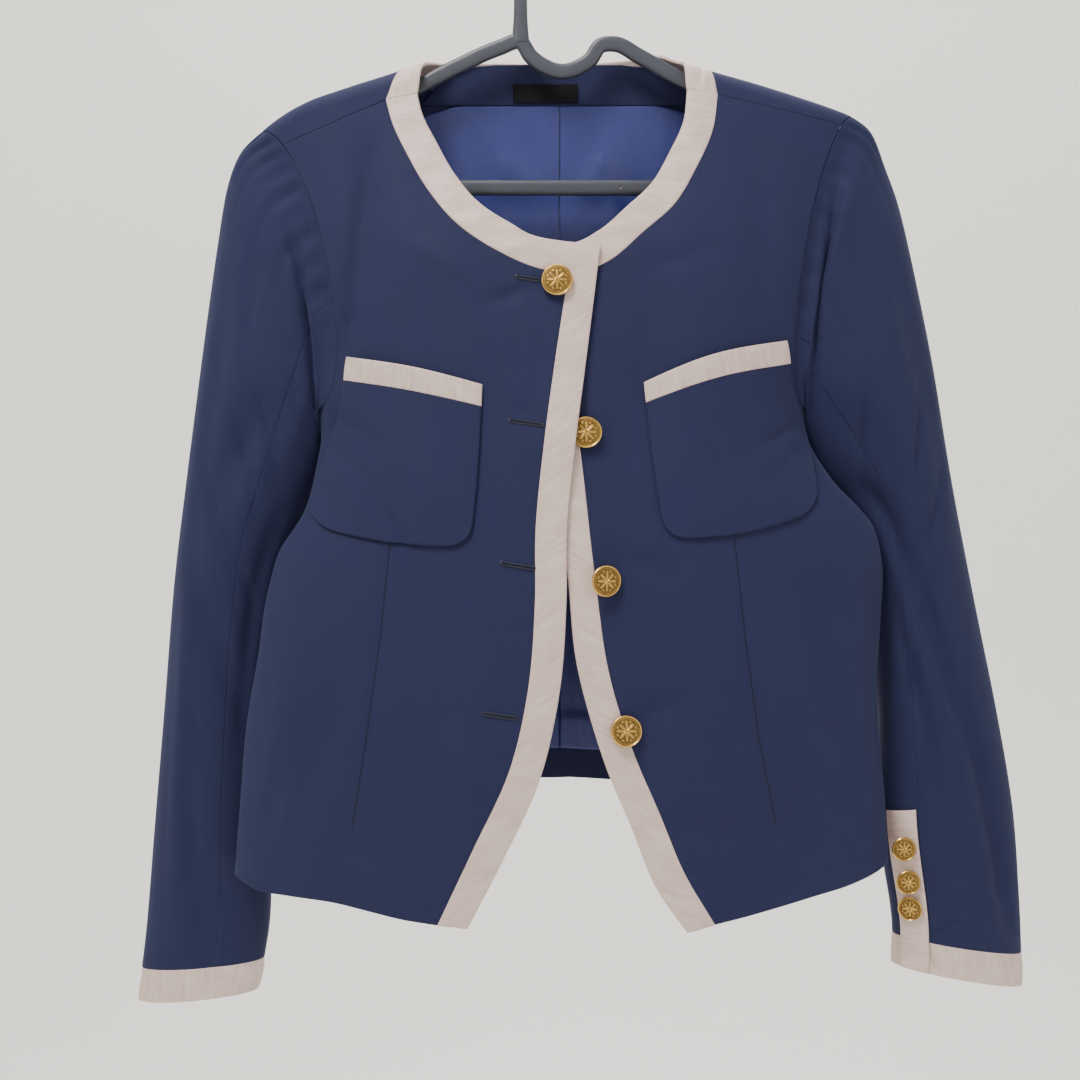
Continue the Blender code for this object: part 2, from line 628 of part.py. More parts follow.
def laid(found, plan, facing, start_y, gap):
    """Points of a plan dropped along +Y onto a surface and moved out of it by a gap."""
    dropped = np.array([[(x, cast(found, x, z, start_y), z) for x, z in row] for row in plan])
    return dropped + facing * gap


def crepe():
    return material("navy_crepe", (0.022, 0.030, 0.088), 0.72)


def satin():
    return material("pale_satin", (0.68, 0.57, 0.53), 0.42)


def lining_look():
    return material("blue_lining", (0.035, 0.055, 0.28), 0.45)


def gold():
    return material("old_gold", (0.62, 0.42, 0.13), 0.34, 1.0)


def make_front(name, side):
    plan = front_plan(side)
    points, facing = surface(plan[..., 0], plan[..., 1], FRONT, side)
    facing = mitre(side, facing, np.linspace(SHOULDER_TURN[side], 180, ARMHOLE_CELLS + 1))
    return cloth(name, points, facing, ["first_row", "first_column", "last_column"], crepe())


def make_front_band(name, side):
    free, seam = front_rows(side)
    share = np.linspace(0, 1, BAND_CELLS + 1)[None, :, None]
    plan = free[:, None] * (1 - share) + seam[:, None] * share
    points, facing = surface(plan[..., 0], plan[..., 1], FRONT, side)
    return cloth(name, points, facing, ["first_row", "last_column"], satin(), CLOTH, BAND_PROUD)


def make_back(name, side):
    points, facing = back_points(back_plan(side))
    yoke = np.linspace(SHOULDER_TURN[side], 0, YOKE_CELLS + 1)
    facing = mitre(side, facing, np.concatenate([yoke, 360 - back_turns()[1:]]))
    edges = ["first_row", "first_column", "last_column"]
    return cloth(name, points, facing, edges, crepe())


def make_neck_band(name):
    """Band round the back of the neck, from one shoulder seam to the other."""
    halves = []
    for side in (RIGHT, LEFT):
        seam = back_plan(side)[0, :len(NECK_SHARES)]
        x_free, z_free = NECK_EDGE[side][0][:2]
        free = [(side * x * NECK_SPREAD[side], turn_length(side * x, z, face))
                for x, z, face in BACK_NECK_FREE]
        free.append((side * NECK_RIDGE[side], 0.0))
        free.append((x_free, turn_length(x_free, z_free, FRONT)))
        halves.append((along(free, NECK_SHARES), seam))
    free = np.vstack([halves[0][0][::-1], halves[1][0][1:]])
    seam = np.vstack([halves[0][1][::-1], halves[1][1][1:]])
    share = np.linspace(0, 1, BAND_CELLS + 1)[None, :, None]
    points, facing = back_points(free[:, None] * (1 - share) + seam[:, None] * share)
    return cloth(name, points, facing, ["first_row", "last_row", "last_column"], satin(), CLOTH,
                 BAND_PROUD)


def make_sleeve(side, label):
    keys = np.linspace(0, SEAM_ROW, SLEEVE_CELLS + 1)
    lines = len(ring_turns(side))
    edges = ["first_row", "last_row", "first_column", "last_column"]
    under, upper = (
        (pull_in(points, ["first_row"], ARMHOLE_EASE), facing) for points, facing in (
            sleeve_strip(side, FORE_SEAM[side], HIND_SEAM[side], keys),
            sleeve_strip(side, HIND_SEAM[side], FORE_SEAM[side] + lines, keys)))
    made = [cloth(f"sleeve_{label}_under", *under, edges, crepe()),
            cloth(f"sleeve_{label}_upper", *upper, edges, crepe())]
    vent = VENT_SEAM[side]
    cuff_keys = np.linspace(SEAM_ROW, CUFF_ROW, CUFF_CELLS + 1)
    cuff = sleeve_strip(side, vent, vent + lines, cuff_keys)
    made.append(cloth(f"cuff_band_{label}", *cuff, ["first_row", "first_column", "last_column"], satin()))
    return made


def make_placket(side, label, sleeve):
    """Satin placket beside the vent, with its three buttons."""
    turns = ring_turns(side)
    start = turns[VENT_SEAM[side]]
    keys = np.linspace(6, CUFF_ROW, 200)
    heights = sleeve_surface(side, keys, start)[0][:, 2]
    fine = start + PLACKET_SIDE[side] * np.linspace(0, 70, 141)
    at_top = np.interp(-PLACKET_TOP[side], -heights, keys)
    across = sleeve_surface(side, at_top, fine)[0]
    reach = np.concatenate([[0], np.cumsum(np.linalg.norm(np.diff(across, axis=0), axis=1))])
    far = np.interp(PLACKET_WIDTH, reach, fine)
    rows = np.linspace(at_top, CUFF_ROW - 0.02, 9)
    line = turns[VENT_SEAM[side] + PLACKET_SIDE[side]]
    columns = np.array([start + PLACKET_SIDE[side] * 0.8, (start + line) / 2, line, far])
    points, facing = sleeve_surface(side, rows[:, None], columns[None, :])
    found = tree(*sleeve)
    for place in np.ndindex(points.shape[:2]):
        out = Vector(facing[place])
        origin = Vector(points[place] * MM) + out * 0.012
        hit = found.ray_cast(origin, -out)[0]
        if hit is not None:
            points[place] = np.array(hit) / MM
    outer = points + facing * (LAY_GAP + PATCH)
    strip = wall(f"placket_{label}", outer, points + facing * LAY_GAP, satin())
    middle = (start + far) / 2
    seat = tree(strip)
    for index, height in enumerate(CUFF_BUTTON_HEIGHTS[side]):
        key = np.interp(-height, -heights, keys)
        place, out = sleeve_surface(side, key, middle)
        origin = Vector(place * MM) + Vector(out) * 0.02
        hit = seat.ray_cast(origin, -Vector(out))[0]
        make_button(f"button_cuff_{label}_{index + 1}", CUFF_BUTTON, np.array(hit) / MM, out,
                    CUFF_BUTTON_TILT[side][index], 0)


def make_button(name, width, seat, out, upright_tilt, level_tilt):
    """Domed shank button: a turned solid on a seat, tilted about the upright and the level."""
    radius = width / 2
    shank, sides = 2.2, 12
    tilt = math.radians(max(abs(upright_tilt), abs(level_tilt)))
    lift = max(radius * math.sin(tilt) - 1.2, 0.0)
    profile = [(shank, 0.0), (shank, 1.8 + lift), (0.9 * radius, 2.0 + lift), (radius, 2.8 + lift),
               (0.94 * radius, 3.8 + lift), (0.76 * radius, 3.9 + lift), (0.4 * radius, 4.7 + lift)]
    axis = Vector(out)
    turn = Vector((0, 0, 1))
    level = turn.cross(axis).normalized()
    axis = Matrix.Rotation(math.radians(upright_tilt), 3, turn) @ axis
    axis = Matrix.Rotation(math.radians(level_tilt), 3, level) @ axis
    first = axis.orthogonal().normalized()
    second = axis.cross(first)
    base = Vector(seat) + axis * (SEAM_GAP + shank * math.sin(tilt))
    vertices, faces = [], []
    for reach, height in profile:
        for step in range(sides):
            angle = 2 * math.pi * step / sides
            ring = first * math.cos(angle) + second * math.sin(angle)
            vertices.append(base + ring * reach + axis * height)
    for row in range(len(profile) - 1):
        for step in range(sides):
            after = (step + 1) % sides
            faces.append([row * sides + step, row * sides + after,
                          (row + 1) * sides + after, (row + 1) * sides + step])
    faces.append(list(range(sides)))
    vertices.append(base + axis * (5.0 + lift))
    top = (len(profile) - 1) * sides
    faces += [[top + step, top + (step + 1) % sides, len(vertices) - 1] for step in range(sides)]
    return add_object(name, vertices, faces, gold())


def make_pocket(side, label, panel):
    """Patch pocket with rounded lower corners, under a satin band."""
    found = tree(panel)
    shape = POCKET[side]
    cells = 9
    share = np.linspace(0, 1, cells + 1)
    top, bottom = along(shape["top"], share), along(shape["bottom"], share)
    outer_side, inner_side = along(shape["side"], share), along(shape["inner"], share)
    plan = coons(top, bottom, outer_side, inner_side)
    reach = np.linalg.norm(shape["top"][0] - np.array(shape["top"][-1]))
    corner = POCKET_CORNER / reach
    for column, across in enumerate(share):
        near = min(across, 1 - across)
        if near < corner:
            rise = POCKET_CORNER * (1 - math.sqrt(1 - (1 - near / corner)**2))
            plan[:, column, 1] += rise * share**3
    height = np.linalg.norm(plan[-1, cells // 2] - plan[0, cells // 2])
    band_share = POCKET_BAND / height
    rows = np.concatenate([[0.0, band_share / 2], np.linspace(band_share, 1, cells + 1)])
    columns = [np.array([np.interp(rows, share, plan[:, column, axis]) for axis in (0, 1)]).T
               for column in range(cells + 1)]
    plan = np.stack(columns, axis=1)
    facing = surface(plan[..., 0], plan[..., 1], FRONT, side)[1]
    base = laid(found, plan, facing, -200.0, POCKET_GAP)
    band, body = slice(0, 3), slice(2, None)
    gap_down = (base[3] - base[2]) / np.linalg.norm(base[3] - base[2], axis=-1, keepdims=True)
    pieces = [(f"pocket_band_{label}", band, satin(), PATCH + BAND_PROUD, -1, "last"),
              (f"pocket_{label}", body, crepe(), PATCH, 1, "first")]
    for name, part, look, thickness, way, edge in pieces:
        under = base[part].copy()
        line = -1 if edge == "last" else 0
        under[line] += gap_down * way * SEAM_GAP / 2
        wall(name, under + facing[part] * thickness, under, look)


def make_back_inside(backs, neck_band):
    """Neck facing, bare label, lining and hem facing inside the back."""
    found = tree(*backs, neck_band)
    share = np.linspace(-1, 1, 13)
    navy = crepe()
    down = np.linspace(0, 1, 4)[:, None]
    x = (FACING_HALF_TOP + (FACING_HALF_BOTTOM - FACING_HALF_TOP) * down) * share
    z = np.broadcast_to(FACING_TOP + (FACING_BOTTOM - FACING_TOP) * down, x.shape)
    plan = np.stack([x, z], axis=-1)
    inward = -surface(x, z, BACK, 0)[1]
    base = laid(found, plan, inward, INSIDE_START, INNER_GAP)
    facing_piece = wall("back_neck_facing", base, base + inward * LINING, navy)
    x0, x1, z0, z1 = LABEL_BOX
    grid_x, grid_z = np.meshgrid(np.linspace(x0, x1, 5), np.linspace(z0, z1, 3))
    inward = np.broadcast_to(np.array([0.0, -1.0, 0.0]), (*grid_x.shape, 3))
    base = laid(tree(facing_piece), np.stack([grid_x, grid_z], axis=-1), inward, INSIDE_START, 0.3)
    wall("label_bare", base, base + inward * LABEL_WALL, material("black_tape", (0.012, 0.012, 0.014), 0.6))
    rise = HEM_MIDDLE - LINING_BOTTOM
    for side, label in ((RIGHT, "right"), (LEFT, "left")):
        across = np.linspace(0.0, 1.0, 8)
        x = side * (LINING_START + (LINING_HALF_WIDTH - LINING_START) * across)
        hem = smooth([(abs(row[0]), row[1]) for row in BACK_HEM[side]], np.abs(x))
        top = FACING_BOTTOM - SEAM_GAP - LINING_SLOPE * np.clip(across - 0.5, 0, 1)**1.3
        down = np.linspace(0, 1, 14)[:, None]
        z = top * (1 - down) + (hem - rise + 2 * SEAM_GAP) * down
        plan = np.stack([np.broadcast_to(x, z.shape), z], axis=-1)
        inward = -surface(plan[..., 0], z, BACK, 0)[1]
        base = laid(found, plan, inward, INSIDE_START, INNER_GAP)
        wall(f"back_lining_{label}", base, base + inward * LINING, lining_look())
    half = LINING_START + (LINING_HALF_WIDTH - LINING_START) * np.linspace(0.0, 1.0, 8)
    x = np.concatenate([-half[::-1], half])
    hem = np.where(x < 0, smooth([(abs(row[0]), row[1]) for row in BACK_HEM[RIGHT]], np.abs(x)),
                   smooth([(abs(row[0]), row[1]) for row in BACK_HEM[LEFT]], np.abs(x)))
    down = np.linspace(0, 1, 3)[:, None]
    z = (hem - rise) * (1 - down) + (hem + 1.2) * down
    plan = np.stack([np.broadcast_to(x, z.shape), z], axis=-1)
    inward = -surface(plan[..., 0], z, BACK, 0)[1]
    base = laid(found, plan, inward, INSIDE_START, INNER_GAP)
    wall("back_hem_facing", base, base + inward * LINING, navy)


def sweep(name, path, height, depth, closed, look):
    """Bar of rounded section along a path on the XZ plane."""
    path = np.array(path, dtype=float)
    if closed:
        run = np.roll(path, -1, axis=0) - np.roll(path, 1, axis=0)
    else:
        run = np.gradient(path, axis=0)
    run /= np.linalg.norm(run, axis=1, keepdims=True)
    sides = 8
    vertices = []
    for (x, z), (run_x, run_z) in zip(path, run):
        for step in range(sides):
            angle = 2 * math.pi * (step + 0.5) / sides
            up, across = math.sin(angle), math.cos(angle)
            up = math.copysign(abs(up)**0.7, up) * height / 2
            across = math.copysign(abs(across)**0.7, across) * depth / 2
            vertices.append((x - run_z * up, across, z + run_x * up))
    count = len(path)
    faces = []
    for row in range(count if closed else count - 1):
        after = (row + 1) % count
        for step in range(sides):
            beside = (step + 1) % sides
            faces.append([row * sides + step, row * sides + beside,
                          after * sides + beside, after * sides + step])
    if not closed:
        faces.append(list(range(sides)))
        faces.append([(count - 1) * sides + step for step in range(sides)])
    return add_object(name, vertices, faces, look)


def make_hanger():
    """Moulded hanger in one piece: frame with a strap notch each side of its stem, rail and hook."""
    look = material("slate_plastic", (0.085, 0.095, 0.125), 0.45)
    loop = along(SHOULDER_BAR + RAIL + SHOULDER_BAR[:1], np.linspace(0, 1, 89))[:-1]
    frame = sweep("hanger", loop, HANGER_HEIGHT, HANGER_DEPTH, True, look)
    middle = -(HOOK_RADIUS - HOOK_HEIGHT / 2)
    stem = [(STEM_X, z) for z in np.linspace(-83, middle, 7)[:-1]]
    turns = np.radians(np.linspace(180, -38, 22))
    bend = [(HOOK_RADIUS * math.cos(turn), middle + HOOK_RADIUS * math.sin(turn)) for turn in turns]
    hook = sweep("hook_tool", stem + bend, HOOK_HEIGHT, HANGER_DEPTH + 0.8, False, look)
    join = frame.modifiers.new("join_hook", "BOOLEAN")
    join.operation = "UNION"
    join.solver = "EXACT"
    join.object = hook
    hook.hide_render = True
    hook.display_type = "WIRE"


def build():
    for piece in list(bpy.data.objects):
        bpy.data.objects.remove(piece)
    panels, bands = {}, {}
    for side, label in ((RIGHT, "right"), (LEFT, "left")):
        panels[side] = make_front(f"front_{label}", side)
        bands[side] = make_front_band(f"front_band_{label}", side)
        make_pocket(side, label, panels[side])
        make_placket(side, label, make_sleeve(side, label))
    backs = [make_back(f"back_{label}", side) for side, label in ((RIGHT, "right"), (LEFT, "left"))]
    make_back_inside(backs, make_neck_band("back_neck_band"))
    for index, (x, z, side, upright, level) in enumerate(FRONT_BUTTONS):
        found = tree(panels[side], bands[side])
        out = surface(x, z, FRONT, side)[1]
        seat = (x, cast(found, x, z, -200.0), z)
        make_button(f"button_front_{index + 1}", FRONT_BUTTON, seat, out, upright, level)
    make_hanger()


build()
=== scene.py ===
import math

import bmesh
import bpy
import numpy as np
from mathutils import Matrix, Vector


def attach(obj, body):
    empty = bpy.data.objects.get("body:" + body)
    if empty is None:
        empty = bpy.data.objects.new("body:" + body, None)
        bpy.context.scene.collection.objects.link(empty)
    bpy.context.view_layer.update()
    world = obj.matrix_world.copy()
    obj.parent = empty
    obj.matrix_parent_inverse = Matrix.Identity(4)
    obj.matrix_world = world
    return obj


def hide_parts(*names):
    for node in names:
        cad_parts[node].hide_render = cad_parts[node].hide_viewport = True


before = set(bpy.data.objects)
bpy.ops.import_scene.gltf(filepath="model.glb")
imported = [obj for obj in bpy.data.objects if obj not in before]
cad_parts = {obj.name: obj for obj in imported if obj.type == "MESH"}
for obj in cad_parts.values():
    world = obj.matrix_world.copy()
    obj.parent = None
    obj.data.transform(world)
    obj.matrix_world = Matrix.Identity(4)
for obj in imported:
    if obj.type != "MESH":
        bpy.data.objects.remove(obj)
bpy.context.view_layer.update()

MM = 0.001
BODY = "root"

# Sizes of the pieces
CLOTH = 2.0              # wall of the crepe with its backing
BAND_PROUD = 0.4         # how far a satin band stands out of the crepe
LINING = 1.0             # wall of the lining and of the facings
ARMHOLE_EASE = 0.45      # further room at the head of a sleeve, whose wall turns there
SEAM_GAP = 0.03          # space left between two pieces that are sewn together
LAY_GAP = 0.45           # space under a piece that is sewn flat onto another
INNER_GAP = 0.9          # space between the back and what lines it
PATCH = 1.4              # wall of a pocket or of a sleeve placket
LAP = 3.8                # how far the left front lies behind the right one where they lap
RIDGE_RADIUS = 12.0      # drop over which the cloth turns over the hanger
FRONT_FULLNESS = 2.4     # exponent of the front half section
BACK_FULLNESS = 3.0      # exponent of the back half section
FRONT_BUTTON = 20.0
CUFF_BUTTON = 16.0
SHANK = 2.2              # radius of a button's shank
BUTTON_DOME = 0.9        # how much higher a button's middle stands than its rim
ROSETTE_RISE = 0.55      # height of the raised work on a button
TILT_ROOM = 1.2          # how far a button's rim may dip before it is lifted off the cloth
POCKET_BAND = 15.0
PLACKET_WIDTH = 20.0
HANGER_HEIGHT = 10.0
HANGER_DEPTH = 7.0
HOOK_RADIUS = 26.0
HOOK_HEIGHT = 9.0
SEAM_ROW = 11            # row of the sleeve tables where the cuff band begins
CUFF_ROW = 12

# Cells of the cloth grids
FINER = 7
SHOULDER_CELLS = 11 * FINER
ARMHOLE_CELLS = 8 * FINER
YOKE_CELLS = 3 * FINER
SIDE_CELLS = 12 * FINER
COLLAR_CELLS = 8 * FINER
SLEEVE_CELLS = 17 * FINER
CUFF_CELLS = 2 * FINER
BAND_CELLS = 12
POCKET_CELLS = 9 * FINER
RELAX_ROUNDS = 5 * FINER**2
NECK_KNOTS = (0.0, 0.24, 0.46, 0.65, 0.75, 0.83, 0.91, 1.0)
NECK_SHARES = np.interp(np.linspace(0, 7, 7 * FINER + 1), range(8), NECK_KNOTS)

# Rolled edges: how far they turn in at a seam and at a free edge
SEAM_DIP = 0.3
FREE_DIP = 0.7

RIGHT = -1               # wearer's right, at -X
LEFT = 1                 # wearer's left, at +X
FRONT = -1
BACK = 1

# Ridge of the shoulders: distance from the middle, height
RIDGE = {
    RIGHT: [(0, -74), (45, -81), (82, -94), (113, -104), (147, -115), (164, -121), (181, -130),
            (197, -142), (215, -160)],
    LEFT: [(0, -74), (40, -80), (70, -92), (97, -101), (118, -107), (135, -112), (157, -119),
           (178, -126), (193, -132), (212, -145)],
}

# Reach of the body at the side: height, distance from the middle
REACH = {
    RIGHT: [(-680, 214), (-618, 212), (-578, 209), (-530, 205), (-481, 197), (-456, 194), (-437, 190),
            (-417, 184), (-396, 170), (-360, 160), (-343, 157.5), (-326, 159.5), (-280, 168),
            (-230, 180), (-180, 195), (-142, 210), (-60, 225)],
    LEFT: [(-680, 216), (-609, 214), (-577, 212), (-544, 209), (-507, 207), (-460, 210), (-421, 211),
           (-402, 206), (-370, 178), (-343, 163), (-325, 161), (-280, 168), (-230, 178), (-180, 190),
           (-132, 206), (-60, 222)],
}

# Depth of the body: height, y of the side seam, y at the middle front, y at the middle back
DEPTH = [
    (-680, -9, -54, 45), (-574, -9, -59, 44), (-500, -8, -62, 41), (-450, -6, -62, 39),
    (-380, -2, -60, 37), (-325, 2, -56, 35), (-260, 2, -50, 32), (-223, 1, -45, 29),
    (-180, 0, -32, 26), (-150, 0, -23, 24), (-120, 0, -15, 21), (-90, 0, -10, 18), (-60, 0, -9, 17),
]

# Front edge of each front: free x, free z, seam x, seam z, first along the neck, then down the front
NECK_EDGE = {
    RIGHT: [(-93, -120.5, -113.5, -124.5), (-90, -133, -109.5, -139), (-80, -154, -98.5, -163),
            (-68, -176, -83.5, -189), (-53, -195, -65, -211), (-32, -210, -40, -228.5),
            (-12, -220, -16, -239.5), (25, -225, 4.5, -244)],
    LEFT: [(82.5, -117.5, 102.5, -121), (80, -138, 99, -144), (71, -159, 88, -170),
           (58, -182, 72, -197), (43, -197, 53.5, -214), (23, -215, 31, -234), (3, -224, 9, -244),
           (-22, -229, -2.5, -249)],
}
FRONT_EDGE = {
    RIGHT: [(25, -225, 4.5, -244), (15.5, -300, -4, -300), (8.6, -353, -11, -353),
            (3.6, -405, -16, -405), (3.2, -450, -16.4, -450), (-1.4, -508, -21, -506),
            (-13, -559, -32, -553.5), (-37, -612, -55, -604), (-58.5, -654, -77.5, -652)],
    LEFT: [(-22, -229, -2.5, -249), (-14, -305, 5.5, -306), (-7.6, -354, 12, -355),
           (3.7, -433, 21, -433), (11, -495, 30.5, -497), (27, -550, 45, -543),
           (44, -591, 62, -583), (59, -628, 77, -619), (79, -657, 96.5, -652)],
}

# Hems: x, z, from the front edge to the side
FRONT_HEM = {
    RIGHT: [(-77.5, -652), (-99, -649), (-122, -644), (-141, -640), (-173, -637), (-195, -635),
            (-212, -629)],
    LEFT: [(96.5, -652), (114, -648), (138, -642), (162, -636), (184, -631), (200, -626), (214, -620)],
}
BACK_HEM = {
    RIGHT: [(0, -574), (-60, -579), (-120, -594), (-170, -613), (-212, -629)],
    LEFT: [(0, -574), (60, -579), (120, -593), (170, -608), (214, -620)],
}

# Neck seam of the back on the right and left: distance from the middle, height, face
BACK_NECK = [(0, -111, BACK), (38, -111, BACK), (70, -109.5, BACK), (92, -106, BACK)]
BACK_NECK_FREE = [(0, -91, BACK), (35, -91, BACK), (60, -91.5, BACK), (76, -93.5, BACK)]

# Armhole and sleeve of each side, a row for each section down the sleeve: outer point, inner point
# (x and z), y of the middle, half depths to the front and back, bow towards the body
SLEEVE = {
    RIGHT: [
        (-197, -142, -159.5, -326, 0, 0, 0, 29),
        (-212, -157, -161.5, -331.5, 5, 24, 20, 22),
        (-222, -180, -157.5, -344, 10, 31, 24, 17),
        (-229, -215, -157.5, -361, 15, 33, 25, 11),
        (-236, -258, -163, -381, 19, 32, 25, 6),
        (-244, -315, -173, -405, 21, 29, 24, 3),
        (-252, -375, -184, -438, 23, 28, 23, 0),
        (-260, -440, -191, -481, 24, 25, 21, 0),
        (-267, -525, -195, -545, 25, 23, 20, 0),
        (-273, -600, -195, -606, 24, 22, 20, 0),
        (-278, -665, -195, -660, 23, 20, 18, 0),
        (-281.5, -698, -199, -692, 22, 19, 17, 0),
        (-284, -720, -203, -713, 22, 19, 17, 0),
    ],
    LEFT: [
        (193, -132, 161, -325, 0, 0, 0, -20),
        (206, -142, 163.2, -330.5, 4.5, 23, 20, -16),
        (216, -162, 160.5, -343.5, 10, 30, 24, -14),
        (226, -188, 168, -360, 13, 33, 26, -10),
        (236, -230, 184, -381, 14, 33, 26, -6),
        (249, -292, 202, -404, 16, 30, 25, -3),
        (262, -370, 208.5, -433, 17, 28, 24, 0),
        (277, -448, 209, -476, 17, 26, 23, 0),
        (292, -526, 213.5, -535, 14, 24, 21, 0),
        (303, -590, 213.5, -600, 15, 22, 20, 0),
        (307, -650, 221, -654, 14, 21, 18, 0),
        (308.5, -686, 222.5, -673, 14, 20, 17, 0),
        (309, -708, 222, -693, 14, 20, 17, 0),
    ],
}
SHOULDER_TURN = {RIGHT: 29.0, LEFT: 23.0}      # degrees round the armhole to the shoulder seam
FORE_SEAM = {RIGHT: 4 * FINER, LEFT: 5 * FINER}       # grid line of the sleeve's seam on the front
HIND_SEAM = {RIGHT: 12 * FINER, LEFT: 12 * FINER}     # grid line of the sleeve's seam on the back
VENT_SEAM = {RIGHT: 12 * FINER, LEFT: 5 * FINER}      # the seam that opens into the vent
PLACKET_SIDE = {RIGHT: -1, LEFT: 1}            # grid direction from the vent to the placket's far edge
PLACKET_TOP = {RIGHT: -606.0, LEFT: -588.0}

# Soft troughs (positive) and ridges (negative) of the fronts and back:
# x and z of one end, x and z of the other, half width, depth
FRONT_FOLDS = [
    (-122, -169, -132, -262, 9, 5.0),
    (-132, -262, -139, -300, 8, 3.5),
    (52, -285, 36, -380, 14, 2.5),
    (-136, -500, -163, -575, 12, 3.0),
    (-107, -425, -124, -560, 5, 1.8),
    (108, -430, 128, -565, 5, 1.8),
    (148, -335, 172, -372, 9, 3.0),
    (150, -455, 186, -600, 16, 2.5),
    (-172, -470, -183, -600, 12, -2.5),
    (70, -590, 100, -594, 8, 1.6),
    (126, -172, 132, -262, 10, 2.5),
    (-40, -470, -70, -600, 16, -2.0),
]
BACK_FOLDS = [
    (-6, -330, -4, -560, 12, 2.0),
    (-128, -160, -138, -290, 10, -3.0),
    (124, -160, 134, -290, 10, -3.0),
    (-104, -400, -120, -590, 14, -2.4),
    (100, -400, 118, -590, 14, -2.4),
    (-60, -170, -34, -330, 18, -1.6),
    (62, -175, 30, -340, 18, -1.6),
]
# Soft troughs of the sleeves: grid turn in degrees and fraction down the sleeve of both ends, half
# width, depth
SLEEVE_FOLDS = {
    RIGHT: [
        (70, 0.06, 110, 0.18, 8, 3.0), (88, 0.10, 128, 0.20, 7, 3.0), (110, 0.30, 70, 0.52, 12, 3.5),
        (60, 0.62, 118, 0.70, 10, 3.0), (70, 0.78, 100, 0.98, 8, 2.0), (250, 0.42, 300, 0.54, 10, 3.0),
        (235, 0.48, 290, 0.62, 10, 2.5), (200, 0.30, 255, 0.40, 12, 2.5), (300, 0.70, 255, 0.90, 10, 2.0),
    ],
    LEFT: [
        (52, 0.05, 96, 0.12, 8, 3.0), (76, 0.09, 120, 0.20, 8, 3.5), (140, 0.42, 108, 0.58, 9, 5.0),
        (108, 0.58, 64, 0.76, 9, 5.5), (64, 0.76, 44, 0.93, 9, 4.0), (54, 0.54, 84, 0.57, 7, 2.5),
        (246, 0.44, 300, 0.54, 10, 3.0), (230, 0.52, 285, 0.64, 10, 2.5), (300, 0.72, 250, 0.90, 10, 2.0),
    ],
}
# The right front is lifted over the button under it: x, z, half width, lift
LIFT = (10, -344, 26, 4.6)

# Corners of each pocket below its band and of the band above: x, z
POCKET = {
    RIGHT: {"top": [(-136, -294), (-94, -302), (-49, -314)],
            "bottom": [(-160.5, -402), (-108, -412.5), (-55, -416)],
            "side": [(-136, -294), (-140, -325), (-151, -362), (-160.5, -402)],
            "inner": [(-49, -314), (-51, -360), (-55, -416)]},
    LEFT: {"top": [(144, -283), (96, -294), (52, -312)],
           "bottom": [(163, -393), (112, -407), (63, -411)],
           "side": [(144, -283), (150, -315), (160, -350), (163, -393)],
           "inner": [(52, -312), (57, -360), (63, -411)]},
}
POCKET_CORNER = 15.0

# Front buttons: x, z, the front that they lie on, tilt in degrees about the upright, about the level
FRONT_BUTTONS = [
    (-2.5, -248.5, RIGHT, 0, 0), (15.5, -344, LEFT, 0, 0), (25.4, -436, LEFT, 22, 4),
    (40, -530, LEFT, 6, -6),
]
CUFF_BUTTON_HEIGHTS = {RIGHT: (-633.0, -655.0, -674.0), LEFT: (-612.0, -634.0, -652.5)}
CUFF_BUTTON_TILT = {RIGHT: (8, 14, 6), LEFT: (26, 24, 6)}

# Back lining, facings and label: heights of their edges
FACING_BOTTOM = -119.0
LINING_BOTTOM = -553.0
LINING_HALF_WIDTH = 128.0
LABEL_BOX = (-31, 12, -105.5, -117.5)      # x from, x to, z from, z to

# Middle line of the hanger's shoulder bar, left to right, and of the rail under it
SHOULDER_BAR = [
    (-174, -150), (-168, -142), (-155, -134.5), (-130, -126), (-100, -115), (-70, -99.5),
    (-40, -86), (-26.4, -82), (-19, -92), (1.3, -101.7), (19.8, -94), (27, -84.5), (36, -83.5),
    (52, -91.5), (74, -104), (100, -116), (130, -124.5), (155, -133), (168, -140), (174, -149),
]
RAIL = [(174, -162), (164, -175), (140, -178), (95, -178.4), (45, -178.6), (-5, -178.6), (-50, -178.5),
        (-95, -178.3), (-140, -178), (-164, -175), (-174, -162)]
STEM_X = -26.0

# Small creases that only the looks carry: x and z of one end, x and z of the other, half width, depth
FRONT_CREASES = [
    (-96, -413, -99, -408, 4, 1.0),
    (-44, -262, -20, -252, 5, 1.2),
    (-34, -330, -13, -336, 5, 0.9),
    (60, -238, 96, -226, 7, 0.9),
    (36, -420, 60, -430, 6, 1.1),
    (46, -520, 78, -512, 7, 1.3),
    (-60, -240, -96, -222, 8, -0.9),
    (-150, -330, -120, -348, 6, 1.4),
    (-154, -345, -128, -368, 6, 1.1),
    (150, -338, 126, -352, 5, 1.4),
    (154, -352, 134, -372, 6, 1.2),
    (-186, -600, -176, -545, 7, 1.6),
    (-88, -600, -84, -560, 8, -1.0),
    (150, -596, 158, -548, 8, 1.3),
    (184, -585, 176, -520, 8, 1.4),
    (-110, -612, -140, -606, 6, 1.1),
]
BACK_CREASES = [
    (-150, -320, -110, -345, 6, 1.2),
    (-154, -340, -122, -372, 7, 1.0),
    (152, -322, 116, -350, 6, 1.3),
    (154, -345, 126, -380, 6, 0.9),
    (-40, -150, -14, -182, 8, 0.9),
    (34, -148, 12, -186, 8, 1.0),
    (-150, -520, -158, -590, 9, 1.4),
    (148, -510, 160, -585, 9, 1.5),
    (-30, -480, -40, -560, 9, -1.0),
    (40, -470, 52, -560, 10, -1.1),
]
